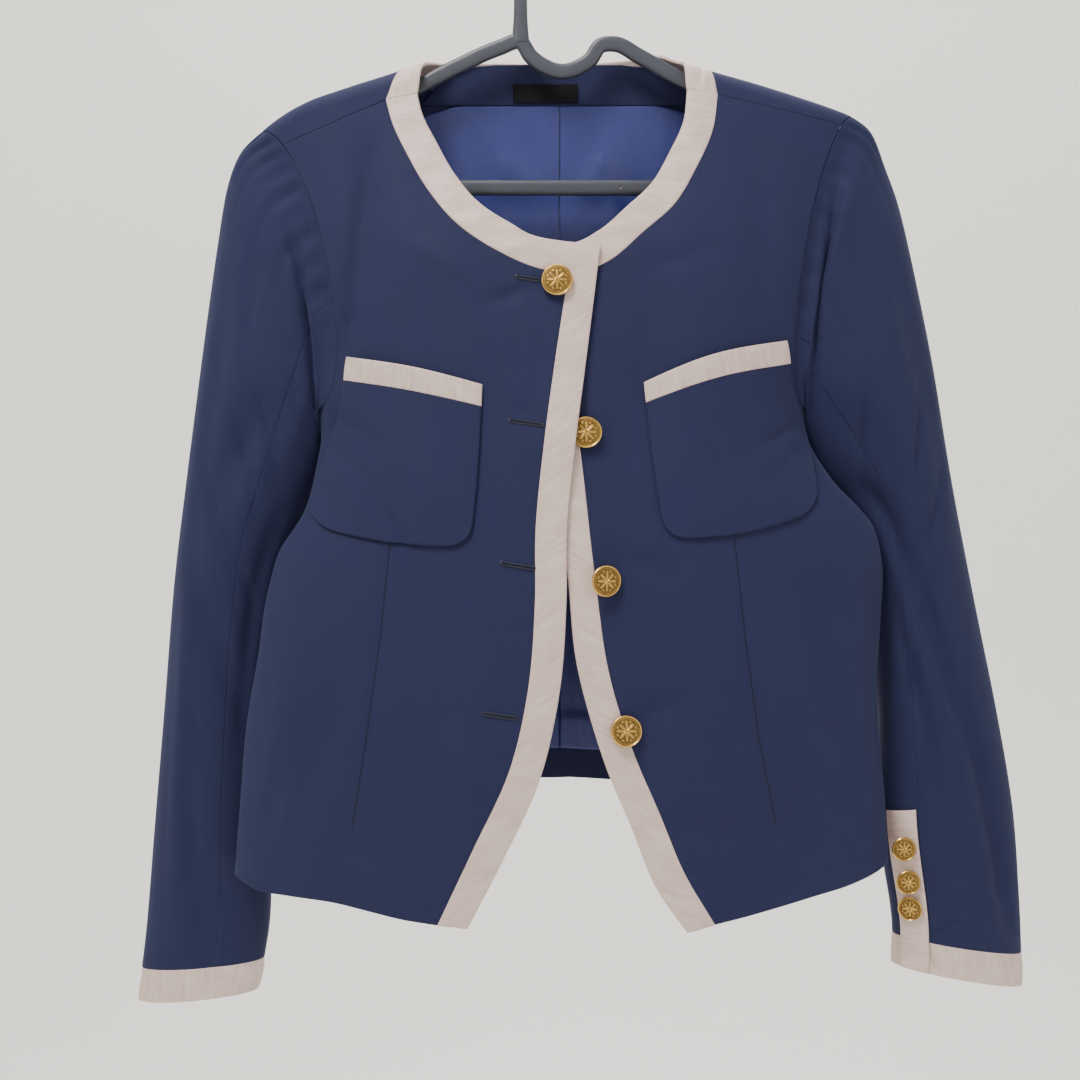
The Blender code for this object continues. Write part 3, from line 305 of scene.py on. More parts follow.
# How much deeper the looks are than their tables
GATHER_GAIN = 1.35       # gathers at the head of a sleeve
CREASE_GAIN = 1.9        # small creases of the sleeves
FOLD_GAIN = 1.3          # large folds of the sleeves
BODY_GAIN = 1.6          # small creases of the fronts and backs
# Gathers at the head of a sleeve: turn in degrees, half width in degrees, reach down the rows, depth
GATHERS = {
    RIGHT: [
        (22, 3.0, 0.9, 1.3), (33, 2.6, 1.4, 1.8), (43, 3.2, 1.1, 1.4), (54, 2.8, 1.8, 2.1),
        (64, 2.4, 1.0, 1.3), (74, 3.4, 2.1, 2.2), (86, 2.8, 1.3, 1.5), (98, 3.6, 1.7, 1.7),
        (112, 3.0, 1.0, 1.0), (346, 3.0, 1.2, 1.5), (334, 2.8, 1.6, 1.7), (322, 3.4, 1.0, 1.3),
        (308, 3.0, 1.5, 1.6), (294, 3.2, 1.1, 1.1), (8, 2.6, 1.0, 1.1),
    ],
    LEFT: [
        (20, 2.8, 1.1, 1.4), (30, 3.0, 1.6, 1.9), (41, 2.6, 1.0, 1.3), (50, 3.2, 2.0, 2.2),
        (61, 2.6, 1.2, 1.5), (70, 3.0, 1.8, 2.0), (82, 3.4, 1.3, 1.6), (93, 2.8, 2.2, 1.9),
        (106, 3.2, 1.1, 1.2), (348, 2.8, 1.0, 1.3), (337, 3.2, 1.7, 1.8), (324, 2.8, 1.1, 1.3),
        (312, 3.4, 1.6, 1.6), (298, 3.0, 1.0, 1.0), (6, 3.0, 1.2, 1.2),
    ],
}
# Small creases of the sleeves, in the measures of the sleeve folds
SLEEVE_CREASES = {
    RIGHT: [
        (88, 0.38, 112, 0.41, 5, 1.4), (74, 0.44, 104, 0.48, 5, 1.6), (60, 0.52, 92, 0.57, 6, 1.3),
        (96, 0.56, 126, 0.60, 6, 1.2), (66, 0.72, 90, 0.76, 5, 1.1), (84, 0.84, 112, 0.88, 5, 1.2),
        (240, 0.36, 280, 0.40, 6, 1.5), (230, 0.55, 270, 0.58, 6, 1.4), (250, 0.66, 290, 0.70, 7, 1.2),
        (58, 0.20, 66, 0.34, 7, 1.2), (120, 0.22, 116, 0.36, 7, -1.2), (96, 0.90, 120, 0.97, 5, 1.0),
        (104, 0.24, 96, 0.50, 9, -1.3), (44, 0.30, 52, 0.60, 10, 1.0), (132, 0.48, 122, 0.72, 8, 1.3),
        (50, 0.62, 60, 0.88, 9, -1.0),
    ],
    LEFT: [
        (96, 0.36, 126, 0.39, 5, 1.5), (58, 0.46, 84, 0.50, 5, 1.4), (74, 0.60, 96, 0.64, 6, 1.3),
        (110, 0.66, 132, 0.71, 5, 1.4), (52, 0.66, 70, 0.70, 5, 1.1), (80, 0.86, 110, 0.89, 5, 1.2),
        (244, 0.38, 284, 0.42, 6, 1.4), (234, 0.57, 276, 0.60, 6, 1.5), (252, 0.68, 292, 0.73, 7, 1.2),
        (62, 0.18, 72, 0.32, 7, 1.4), (116, 0.24, 104, 0.36, 8, -1.3), (92, 0.92, 118, 0.98, 5, 1.0),
        (126, 0.46, 84, 0.72, 7, -1.6), (78, 0.72, 60, 0.90, 7, -1.3), (130, 0.60, 100, 0.80, 7, 1.6),
        (46, 0.30, 50, 0.52, 10, 1.1), (98, 0.26, 90, 0.46, 9, -1.2),
    ],
}
POCKET_CREASES = [
    (-103, -402, -109, -396, 3.5, 1.2),
    (-141, -350, -118, -356, 5, 1.0),
    (-76, -330, -70, -352, 6, 0.9),
    (92, -358, 102, -374, 5, 1.3),
    (143, -353, 155, -362, 4, 1.3),
    (74, -330, 80, -350, 6, 0.9),
]
# The groove above the hem where it is caught: height, depth, half width
HEM_HEIGHT = 34.0
HEM_GROOVE = 0.35
HEM_GROOVE_WIDTH = 2.2
BAND_PUCKERS = {RIGHT: (-262, -318, -371, -436, -497, -541, -583, -622),
                LEFT: (-268, -331, -398, -487, -552, -572, -601, -634)}

# Darts of the fronts, as seam lines: x, z from the top down
DARTS = {RIGHT: [(-107, -413), (-113, -472), (-122, -536), (-131, -592)],
         LEFT: [(108, -410), (115, -472), (124, -536), (135, -590)]}
# Buttonholes on the right front: middle x, z; one length and slope for all
BUTTONHOLES = [(-18, -247), (-22, -338), (-27, -427), (-38, -520)]
BUTTONHOLE_LENGTH = 22.0
BUTTONHOLE_SLOPE = -9.0
STITCH_RADIUS = 0.27
STITCH_ROOT = 0.16       # distance of a stitch's inner end from the slit
STITCH_REACH = 1.6       # distance of its outer end
STITCH_HEIGHTS = (-0.1, 0.42, 0.42, -0.1)      # how far its points stand out of the cloth
BAR_LENGTH = 0.9         # length along the slit of the bar at each end
BAR_HALF_WIDTH = 1.5

BACK_DARTS = {RIGHT: [(-92, 300), (-96, 360), (-103, 430), (-110, 505)],
              LEFT: [(92, 300), (96, 360), (103, 430), (110, 505)]}
CUFF_PUCKERS = (14, 37, 61, 92, 118, 149, 171, 203, 240)
PLACKET_PUCKERS = {RIGHT: (-621, -643, -664, -688), LEFT: (-602, -625, -646, -671)}
# Free edge of the neck band: share of the table's reach, and where it crosses the ridge
NECK_REACH = {RIGHT: 1.0, LEFT: 0.9}
NECK_RIDGE = {RIGHT: 86, LEFT: 76}
POCKET_LIFT = 2.4        # how far a pocket's outer side stands out of the front at its edge

# Inside of the back: neck facing, lining and its pleat
FACING_TOP = -92.5
FACING_DROP = 5.0        # how far below the shoulder ridge the neck facing starts at its ends
FACING_HALF_TOP = 79.0
FACING_HALF_BOTTOM = 93.0
LABEL_WALL = 0.55
INSIDE_START = 0.2       # x of the lining halves' edges at the middle
LINING_SLOPE = 55.0      # how far the lining's top falls towards its sides
HEM_TURN = LINING_BOTTOM - BACK_HEM[RIGHT][0][1]       # height of the hem facing
HEM_RAISE = 1.2          # how far the hem facing ends above the hem
LABEL_CURL = 0.14        # how much closer the label lies in its middle
LABEL_GAP = 0.8          # space between the neck facing and the ends of the label
PLEAT_HEIGHT = 24.0      # how far above the hem facing the lining's fold lies
LINING_FOLDS = [
    (-34, -135, -58, -300, 9, 1.1), (30, -132, 44, -250, 8, 1.0), (12, -150, 20, -420, 11, 0.9),
    (-14, -150, -22, -330, 7, 0.8), (-70, -150, -84, -420, 12, 1.3), (74, -150, 86, -400, 12, 1.3),
    (-40, -380, -30, -540, 9, 1.4), (18, -430, 26, -540, 8, 1.5), (-8, -440, -12, -545, 6, 1.0),
    (56, -400, 62, -540, 10, 1.3), (0, -130, 0, -550, 2.2, -0.4),
]
STEM_FOOT = -83.0        # z where the hook's stem meets the frame
STEM_FLARE = (3.0, 2.2, 1.5, 0.9, 0.4, 0.1)    # how much wider the stem is at its foot
HOOK_END = -38.0         # degrees at which the hook ends
HOOK_TIP = (0.98, 0.9, 0.74, 0.45)     # shares of the hook's width at its rounded end
MOULD_MARK = (39.5, -178.6)      # x, z of the round moulding mark on the hanger's rail
MOULD_RINGS = ((2.3, -0.4), (2.3, 0.25), (1.7, 0.45), (1.2, 0.1), (0.0, 0.05))     # radius, height


def smooth(table, at):
    """Values of a table at a key, on a smooth curve through its rows."""
    rows = np.array(table, dtype=float)
    rows = rows[np.argsort(rows[:, 0])]
    keys, values = rows[:, 0], rows[:, 1:]
    slopes = np.gradient(values, keys, axis=0)
    at = np.clip(np.asarray(at, dtype=float), keys[0], keys[-1])
    cell = np.clip(np.searchsorted(keys, at) - 1, 0, len(keys) - 2)
    span = keys[cell + 1] - keys[cell]
    t = ((at - keys[cell]) / span)[..., None]
    step = span[..., None]
    curve = ((2 * t**3 - 3 * t**2 + 1) * values[cell] + (t**3 - 2 * t**2 + t) * step * slopes[cell]
             + (3 * t**2 - 2 * t**3) * values[cell + 1] + (t**3 - t**2) * step * slopes[cell + 1])
    return curve[..., 0] if curve.shape[-1] == 1 else curve


def along(points, fractions):
    """Points at fractions of the length of a smooth curve through the given points."""
    points = np.array(points, dtype=float)
    steps = np.linalg.norm(np.diff(points[:, :2], axis=0), axis=1)
    reach = np.concatenate([[0.0], np.cumsum(steps)])
    table = np.column_stack([reach / reach[-1], points])
    return smooth(table, fractions)


def coons(top, bottom, start, end):
    """Grid between four edges: rows run from start to end, columns from top to bottom."""
    u = np.linspace(0, 1, len(top))[None, :, None]
    v = (np.linspace(0, 1, len(start)))[:, None, None]
    top, bottom, start, end = (np.array(edge, dtype=float) for edge in (top, bottom, start, end))
    across = (1 - v) * top[None] + v * bottom[None]
    down = (1 - u) * start[:, None] + u * end[:, None]
    corners = ((1 - u) * (1 - v) * top[0] + u * (1 - v) * top[-1]
               + (1 - u) * v * bottom[0] + u * v * bottom[-1])
    return across + down - corners


def relaxed(plan):
    """Even out the inner points of a plan, so that no cell folds over at a corner."""
    plan = plan.copy()
    for _ in range(RELAX_ROUNDS):
        around = plan[2:, 1:-1] + plan[:-2, 1:-1] + plan[1:-1, 2:] + plan[1:-1, :-2]
        plan[1:-1, 1:-1] = (plan[1:-1, 1:-1] + around / 4) / 2
    return plan


def by_side(tables, x, at):
    """A table's value on the side where x lies."""
    return np.where(np.asarray(x) < 0, smooth(tables[RIGHT], at), smooth(tables[LEFT], at))


def ridge(x):
    return by_side(RIDGE, x, np.abs(x))


def body_depth(z):
    """Height's y of the side seam, of the middle front and of the middle back."""
    depth = smooth(DEPTH, z)
    return depth[..., 0], depth[..., 1], depth[..., 2]


def square_depth(x, z, face):
    """Square of the half depth of the body; negative outside it."""
    side, front, back = body_depth(z)
    share = np.abs(x) / by_side(REACH, x, z)
    if face == FRONT:
        section = 1 - share**FRONT_FULLNESS
        depth = side - front
    else:
        section = 1 - share**BACK_FULLNESS
        depth = back - side
    turned = 1 - np.clip(1 - (ridge(x) - z) / RIDGE_RADIUS, 0, None)**2
    return depth**2 * section * np.where(section < 0, np.abs(turned), turned)


def trough(x, z, row):
    """Depth of one soft trough at a place."""
    x0, z0, x1, z1, half_width, depth = row
    run = np.array([x1 - x0, z1 - z0], dtype=float)
    length = math.sqrt(run.dot(run))
    free = ((x - x0) * run[0] + (z - z0) * run[1]) / length
    t = np.clip(free / length, 0, 1)
    past = free - t * length
    beside = ((x - x0) * run[1] - (z - z0) * run[0]) / length
    end = np.clip(np.minimum(t, 1 - t) / 0.3, 0, 1)
    fade = 0.5 + 0.5 * end**2 * (3 - 2 * end)
    return depth * fade * np.exp(-(beside / half_width)**2 - (0.5 * past / half_width)**2)


def folds(x, z, face, layer):
    """How far folds move the body's surface towards +Y."""
    share = np.abs(x) / by_side(REACH, x, z)
    kept = np.clip(3 * (1 - share**4), 0, 1) * np.clip((ridge(x) - z) / (3 * RIDGE_RADIUS), 0, 1)
    large, small = (FRONT_FOLDS, FRONT_CREASES) if face == FRONT else (BACK_FOLDS, BACK_CREASES)
    moved = sum(trough(x, z, row) for row in large) + BODY_GAIN * sum(trough(x, z, row) for row in small)
    moved = -face * moved
    if face == FRONT and layer == LEFT:
        fade = np.clip((92 - x) / 40, 0, 1)
        moved = moved + LAP * fade**2 * (3 - 2 * fade)
    if face == FRONT and layer == RIGHT:
        middle_x, middle_z, half_width, lift = LIFT
        moved = moved - lift * np.exp(-((x - middle_x)**2 + (z - middle_z)**2) / half_width**2)
    return moved * kept


def surface(x, z, face, layer):
    """Points of the body's outer surface and the directions that face out of it."""
    x, z = np.asarray(x, dtype=float), np.asarray(z, dtype=float)
    side = body_depth(z)[0]
    y = side + face * np.sqrt(np.clip(square_depth(x, z, face), 0, None)) + folds(x, z, face, layer)

    def outside(px, py, pz):
        middle = body_depth(pz)[0] + folds(px, pz, face, layer)
        return (py - middle)**2 - square_depth(px, pz, face)

    step = 0.2
    slope = np.stack([
        outside(x + step, y, z) - outside(x - step, y, z),
        outside(x, y + step, z) - outside(x, y - step, z),
        outside(x, y, z + step) - outside(x, y, z - step)], axis=-1)
    length = np.linalg.norm(slope, axis=-1, keepdims=True)
    return np.stack([x, y, z], axis=-1), slope / np.maximum(length, 1e-9)


def turn_length(x, z, face):
    """Signed length over the shoulder ridge, with the back positive."""
    drop = max(float(ridge(x)) - z, 0.0)
    quarter = RIDGE_RADIUS * math.pi / 2
    if drop < RIDGE_RADIUS:
        length = RIDGE_RADIUS * math.acos(1 - drop / RIDGE_RADIUS)
    else:
        length = quarter + drop - RIDGE_RADIUS
    return face * length


def turn_height(x, length):
    """Height under the ridge for a signed length over it."""
    quarter = RIDGE_RADIUS * math.pi / 2
    over = np.abs(length)
    near = RIDGE_RADIUS * (1 - np.cos(np.minimum(over, quarter) / RIDGE_RADIUS))
    return ridge(x) - near - np.maximum(over - quarter, 0)


def armhole(side, degrees):
    """Place on the armhole seam: x, z; 0 is the top, 90 the front and 180 the underarm."""
    x0, z0, x1, z1, _, _, _, bow = SLEEVE[side][0]
    turn = np.radians(degrees)
    x = (x0 + x1) / 2 + (x0 - x1) / 2 * np.cos(turn) + bow * np.abs(np.sin(turn))
    z = (z0 + z1) / 2 + (z0 - z1) / 2 * np.cos(turn)
    return x, z


def back_turns():
    """Degrees round the back of the armhole from its top, closer together at the shoulder."""
    return 180 * np.linspace(0, 1, ARMHOLE_CELLS + 1)**1.25


def ring_turns(side):
    """Degrees of the grid lines round the armhole and sleeve, from the shoulder seam forward."""
    start = SHOULDER_TURN[side]
    front = np.linspace(start, 180, ARMHOLE_CELLS + 1)
    back = 360 - back_turns()[::-1][1:]
    yoke = np.linspace(360, 360 + start, YOKE_CELLS + 1)[1:-1]
    return np.concatenate([front, back, yoke])


def side_seam(side):
    """Points of the side seam, from underarm to hem."""
    top = SLEEVE[side][0][3]
    bottom = FRONT_HEM[side][-1][1]
    heights = np.linspace(top, bottom, SIDE_CELLS + 1)
    return np.column_stack([side * smooth(REACH[side], heights), heights])


def front_rows(side):
    """Free edge and seam edge of a front's band, a row for each row of the panel."""
    neck = along([row[2:] + row[:2] for row in NECK_EDGE[side]], np.linspace(0, 1, COLLAR_CELLS + 1))
    down = along([row[2:] + row[:2] for row in FRONT_EDGE[side]],
                 np.linspace(0, 1, ARMHOLE_CELLS + SIDE_CELLS - COLLAR_CELLS + 1))
    rows = np.vstack([neck, down[1:]])
    return rows[:, 2:], rows[:, :2]


def front_plan(side):
    """Grid of a front panel on the XZ plane."""
    seam = front_rows(side)[1]
    turns = np.linspace(SHOULDER_TURN[side], 180, ARMHOLE_CELLS + 1)
    sleeve_edge = np.column_stack(armhole(side, turns))
    outer = np.vstack([sleeve_edge, side_seam(side)[1:]])
    closer = 1 - (1 - np.linspace(0, 1, SHOULDER_CELLS + 1))**1.35
    top = seam[0] + closer[:, None] * (outer[0] - seam[0])
    bottom = along(FRONT_HEM[side], closer)
    plan = coons(top, bottom, seam, outer)
    for row in range(1, len(plan) - 1):
        plan[row] = along(plan[row], closer)
    return relaxed(plan)


def back_plan(side):
    """Grid of a back panel: x and the signed length over the ridge."""
    x_neck, z_neck = front_rows(side)[1][0]
    neck = [(side * x, turn_length(side * x, z, face)) for x, z, face in BACK_NECK]
    neck.append(((side * BACK_NECK[-1][0] + x_neck) / 2, 0.0))
    neck.append((x_neck, turn_length(x_neck, z_neck, FRONT)))
    neck = along(neck, NECK_SHARES)
    shoulder = front_plan(side)[0]
    shoulder = np.array([(x, turn_length(x, z, FRONT)) for x, z in shoulder])
    top = np.vstack([neck, shoulder[1:]])
    turns = np.concatenate([np.linspace(SHOULDER_TURN[side], 0, YOKE_CELLS + 1),
                            -back_turns()[1:]])
    faces = [FRONT] * YOKE_CELLS + [BACK] * (ARMHOLE_CELLS + 1)
    x_hole, z_hole = armhole(side, turns)
    outer = [(x, turn_length(x, z, face)) for x, z, face in zip(x_hole, z_hole, faces)]
    outer += [(x, turn_length(x, z, BACK)) for x, z in side_seam(side)[1:]]
    hem = along([(x, turn_length(x, z, BACK)) for x, z in BACK_HEM[side]],
                np.linspace(0, 1, len(top)))
    middle = along([tuple(top[0]), tuple(hem[0])], np.linspace(0, 1, len(outer)))
    return relaxed(coons(top, hem, middle, outer))


def back_points(plan):
    """Surface of a back panel from its plan, over the ridge onto the front."""
    x, length = plan[..., 0], plan[..., 1]
    z = turn_height(x, length)
    points, facing = surface(x, z, BACK, 0)
    front_points, front_facing = surface(x, z, FRONT, 0)
    ahead = (length < 0)[..., None]
    return np.where(ahead, front_points, points), np.where(ahead, front_facing, facing)


# Edges of a grid: axis, place of the edge on it, step inwards
EDGES = {"first_row": (0, 0, 1), "last_row": (0, -1, -1), "first_column": (1, 0, 1),
         "last_column": (1, -1, -1)}


def pull_in(points, edges, gap=SEAM_GAP / 2):
    """Move the named edges of a grid inwards, to leave room at its seams."""
    moved = points.copy()
    for edge in edges:
        axis, at, step = EDGES[edge]
        rim = points.take(at, axis=axis)
        run = points.take(at + step, axis=axis) - rim
        run = run / np.maximum(np.linalg.norm(run, axis=-1, keepdims=True), 1e-9)
        np.moveaxis(moved, axis, 0)[at] += run * gap
    return moved


def sleeve_shape(side, key, turns):
    """Points of a sleeve before its folds: key counts the table's rows, turns are in degrees."""
    row = smooth([(index, *values) for index, values in enumerate(SLEEVE[side])], key)
    x0, z0, x1, z1, middle, ahead, behind, bow = np.moveaxis(row, -1, 0)
    angle = np.radians(turns)
    around, out = np.cos(angle), np.sin(angle)
    x = (x0 + x1) / 2 + (x0 - x1) / 2 * around + bow * np.abs(out)**(1 + np.clip(key, 0, 1))
    z = (z0 + z1) / 2 + (z0 - z1) / 2 * around
    own = middle - np.where(out > 0, ahead, behind) * out
    hole_x, hole_z = armhole(side, turns)
    hole_front = surface(hole_x, hole_z, FRONT, 0)[0][..., 1]
    hole_back = surface(hole_x, hole_z, BACK, 0)[0][..., 1]
    hole = np.where(out >= 0, hole_front, hole_back)
    kept = np.clip(1 - np.asarray(key) / 2.4, 0, 1)**1.5
    return np.stack([x, kept * hole + (1 - kept) * own, z], axis=-1)


def sleeve_folds(side, key, turns):
    """Depth of the sleeve's troughs; a degree is about 0.85 mm and the whole length 570 mm."""
    degree, length = 0.85, 570.0
    wrapped = np.asarray(turns) % 360
    share = np.asarray(key) / SEAM_ROW
    rows = [(a * degree, f * length, b * degree, g * length, width, FOLD_GAIN * depth)
            for a, f, b, g, width, depth in SLEEVE_FOLDS[side]]
    rows += [(a * degree, f * length, b * degree, g * length, width, CREASE_GAIN * depth)
             for a, f, b, g, width, depth in SLEEVE_CREASES[side]]
    total = sum(trough(wrapped * degree, share * length, row) for row in rows)
    total = total * np.clip(share * 14 - 0.3, 0, 1)
    start = np.clip(np.asarray(key) / 0.35, 0, 1)
    for turn, half_width, reach, depth in GATHERS[side]:
        away = (wrapped - turn + 180) % 360 - 180
        spread = (away / half_width)**2 + (np.asarray(key) / reach)**2
        total = total + GATHER_GAIN * depth * start * np.exp(-spread)
    return total


def sleeve_surface(side, key, turns):
    """Points of the sleeve's outer surface and the directions that face out of it."""
    key, turns = np.broadcast_arrays(np.asarray(key, dtype=float), np.asarray(turns, dtype=float))
    points = sleeve_shape(side, key, turns)
    down = sleeve_shape(side, key + 0.08, turns) - sleeve_shape(side, np.maximum(key - 0.08, 0), turns)
    around = sleeve_shape(side, key, turns + 2) - sleeve_shape(side, key, turns - 2)
    facing = np.cross(down, around) * -side
    facing /= np.maximum(np.linalg.norm(facing, axis=-1, keepdims=True), 1e-9)
    hole_x, hole_z = armhole(side, turns)
    ahead = (np.sin(np.radians(turns)) >= 0)[..., None]
    body = np.where(ahead, surface(hole_x, hole_z, FRONT, 0)[1], surface(hole_x, hole_z, BACK, 0)[1])
    kept = np.clip(1 - key / 0.6, 0, 1)[..., None]
    facing = facing + kept * body
    facing /= np.maximum(np.linalg.norm(facing, axis=-1, keepdims=True), 1e-9)
    return points - facing * sleeve_folds(side, key, turns)[..., None], facing


def mitre(side, facing, turns):
    """Turn the armhole edge of a panel's walls halfway towards the sleeve's."""
    facing = facing.copy()
    facing[:len(turns), -1] = sleeve_surface(side, 0.0, turns)[1]
    return facing


def sleeve_strip(side, first, last, keys):
    """Grid of a stretch of sleeve between two grid lines."""
    turns = ring_turns(side)
    count = len(turns)
    picked = [turns[line % count] + 360 * (line // count) for line in range(first, last + 1)]
    return sleeve_surface(side, np.asarray(keys)[:, None], np.array(picked)[None, :])


# Looks. Cloth is textured along its own surface: its UV map is the cut, in metres.

def add(tree, kind, settings=None, **inputs):
    """A shader node with its settings and inputs; a socket as an input is linked."""
    node = tree.nodes.new("ShaderNode" + kind)
    for name, value in (settings or {}).items():
        setattr(node, name, value)
    for name, value in inputs.items():
        place = int(name[2:]) if name.startswith("in") and name[2:].isdigit() else name.replace("_", " ")
        if isinstance(value, bpy.types.NodeSocket):
            tree.links.new(value, node.inputs[place])
        else:
            node.inputs[place].default_value = value
    return node


def maths(tree, operation, *values, clamp=False):
    inputs = {f"in{index}": value for index, value in enumerate(values)}
    return add(tree, "Math", {"operation": operation, "use_clamp": clamp}, **inputs).outputs[0]


def mixed(tree, share, first, second):
    """Colour between two colours or colour sockets."""
    node = tree.nodes.new("ShaderNodeMix")
    node.data_type = "RGBA"
    for place, value in ((0, share), (6, first), (7, second)):
        if isinstance(value, bpy.types.NodeSocket):
            tree.links.new(value, node.inputs[place])
        else:
            node.inputs[place].default_value = value if place == 0 else (*value, 1.0)
    return node.outputs[2]


def noise(tree, where, scale, detail=2.0, roughness=0.5):
    return add(tree, "TexNoise", Vector=where, Scale=scale, Detail=detail,
               Roughness=roughness).outputs["Fac"]


def stretched(tree, where, across, down):
    return add(tree, "Mapping", Vector=where, Scale=(across, down, 1.0)).outputs[0]


def bumped(tree, height, distance, strength=1.0, under=None):
    node = add(tree, "Bump", Height=height, Distance=distance, Strength=strength)
    if under is not None:
        tree.links.new(under, node.inputs["Normal"])
    return node.outputs[0]


def weighted(tree, *parts, clamp=False):
    """Sum of sockets, each times its share."""
    total = None
    for place, (socket, share) in enumerate(parts):
        part = maths(tree, "MULTIPLY", socket, share)
        last = clamp and place == len(parts) - 1
        total = part if total is None else maths(tree, "ADD", total, part, clamp=last)
    return total


def look(name, place=None):
    """A new material's tree and its place socket: the cut's, or the one of that name."""
    tree = bpy.data.materials.new(name)
    tree.use_nodes = True
    tree = tree.node_tree
    if place is None:
        return tree, tree.nodes.new("ShaderNodeUVMap").outputs[0]
    return tree, tree.nodes.new("ShaderNodeTexCoord").outputs[place]


def finish_look(name, tree, colour, roughness, normal, **settings):
    """Join the sockets to the material's shader, with its plain settings, and return the material."""
    shader = tree.nodes["Principled BSDF"]
    for socket, value in (("Base Color", colour), ("Roughness", roughness), ("Normal", normal)):
        if isinstance(value, bpy.types.NodeSocket):
            tree.links.new(value, shader.inputs[socket])
        else:
            shader.inputs[socket].default_value = value
    for socket, value in settings.items():
        shader.inputs[socket.replace("_", " ")].default_value = value
    return bpy.data.materials[name]


def line_distance(tree, where, points):
    """Distance in metres from a run of straight stitches given in millimetres."""
    nearest = None
    for (x0, z0), (x1, z1) in zip(points, points[1:]):
        run = Vector(((x1 - x0) * MM, (z1 - z0) * MM, 0.0))
        away = add(tree, "VectorMath", {"operation": "SUBTRACT"}, in0=where,
                   in1=(x0 * MM, z0 * MM, 0.0)).outputs[0]
        reach = add(tree, "VectorMath", {"operation": "DOT_PRODUCT"}, in0=away, in1=run).outputs["Value"]
        share = maths(tree, "DIVIDE", reach, run.length_squared, clamp=True)
        foot = add(tree, "VectorMath", {"operation": "SCALE"}, in0=run, Scale=share).outputs[0]
        gap = add(tree, "VectorMath", {"operation": "SUBTRACT"}, in0=away, in1=foot).outputs[0]
        length = add(tree, "VectorMath", {"operation": "LENGTH"}, in0=gap).outputs["Value"]
        nearest = length if nearest is None else maths(tree, "MINIMUM", nearest, length)
    return nearest


def crepe_look(name, lines=()):
    """Matte crepe: a pebbled weave with fine ribs, a soft nap and faint handling marks, and painted shade in
    the grooves of any given seam lines.
    """
    tree, where = look(name)
    pebbles = noise(tree, where, 1500.0, 3.0, 0.6)
    ribs = add(tree, "TexWave", {"bands_direction": "DIAGONAL"}, Vector=where, Scale=620.0,
               Distortion=2.5, Detail=2.0).outputs["Fac"]
    nap = noise(tree, stretched(tree, where, 1.0, 0.35), 46.0, 4.0, 0.6)
    marks = noise(tree, where, 11.0, 3.0, 0.55)
    weave = weighted(tree, (pebbles, 0.65), (ribs, 0.35))
    share = weighted(tree, (weave, 0.55), (nap, 0.25), (marks, 0.3), clamp=True)
    colour = mixed(tree, share, (0.0072, 0.0092, 0.0375), (0.0160, 0.0196, 0.0710))
    normal = bumped(tree, weave, 0.00022, 0.55)
    normal = bumped(tree, noise(tree, where, 170.0, 3.0, 0.6), 0.00045, 0.3, normal)
    if lines:
        # Painted shade along the darts' seam lines: the colour darkens in their groove, which the bump also
        # sinks.
        groove = add(tree, "MapRange", {"interpolation_type": "SMOOTHSTEP"},
                     Value=line_distance(tree, where, lines), From_Min=0.0, From_Max=0.0009).outputs[0]
        colour = mixed(tree, groove, (0.0045, 0.0060, 0.020), colour)
        normal = bumped(tree, groove, 0.0003, 0.8, normal)
    roughness = maths(tree, "ADD", 0.7, maths(tree, "MULTIPLY", nap, 0.18))
    return finish_look(name, tree, colour, roughness, normal, Sheen_Weight=0.09, Sheen_Roughness=0.5,
                       Sheen_Tint=(0.42, 0.5, 0.85, 1.0), Specular_IOR_Level=0.28)


def satin_look(name):
    """Pinkish champagne satin: long floats that catch the light, with faint watery streaks."""
    tree, where = look(name)
    floats = noise(tree, stretched(tree, where, 0.3, 1.0), 2300.0, 2.0, 0.5)
    slubs = noise(tree, stretched(tree, where, 0.2, 1.6), 240.0, 3.0, 0.6)
    water = noise(tree, where, 58.0, 3.0, 0.6)
    share = weighted(tree, (floats, 0.3), (slubs, 0.35), (water, 0.35), clamp=True)
    sharp = add(tree, "MapRange", Value=share, From_Min=0.3, From_Max=0.7).outputs[0]
    colour = mixed(tree, sharp, (0.48, 0.343, 0.303), (0.81, 0.645, 0.585))
    normal = bumped(tree, floats, 0.00012, 0.6)
    normal = bumped(tree, slubs, 0.0003, 0.35, normal)
    normal = bumped(tree, water, 0.0012, 0.35, normal)
    roughness = maths(tree, "ADD", 0.36, maths(tree, "MULTIPLY", slubs, 0.2))
    return finish_look(name, tree, colour, roughness, normal, Sheen_Weight=0.3, Sheen_Roughness=0.35,
                       Sheen_Tint=(1.0, 0.9, 0.85, 1.0))


def lining_look(name):
    """Royal blue lining: thin smooth satin with soft pressed wrinkles."""
    tree, where = look(name)
    threads = noise(tree, stretched(tree, where, 1.0, 0.25), 2200.0, 2.0, 0.5)
    wrinkles = noise(tree, stretched(tree, where, 1.0, 0.5), 55.0, 4.0, 0.62)
    tone = noise(tree, where, 18.0, 3.0, 0.55)
    share = weighted(tree, (threads, 0.3), (tone, 0.7))
    colour = mixed(tree, share, (0.015, 0.021, 0.122), (0.035, 0.047, 0.235))
    normal = bumped(tree, wrinkles, 0.0022, 0.5, bumped(tree, threads, 0.0001, 0.5))
    roughness = maths(tree, "ADD", 0.3, maths(tree, "MULTIPLY", tone, 0.2))
    return finish_look(name, tree, colour, roughness, normal, Sheen_Weight=0.15,
                       Sheen_Tint=(0.6, 0.7, 1.0, 1.0))


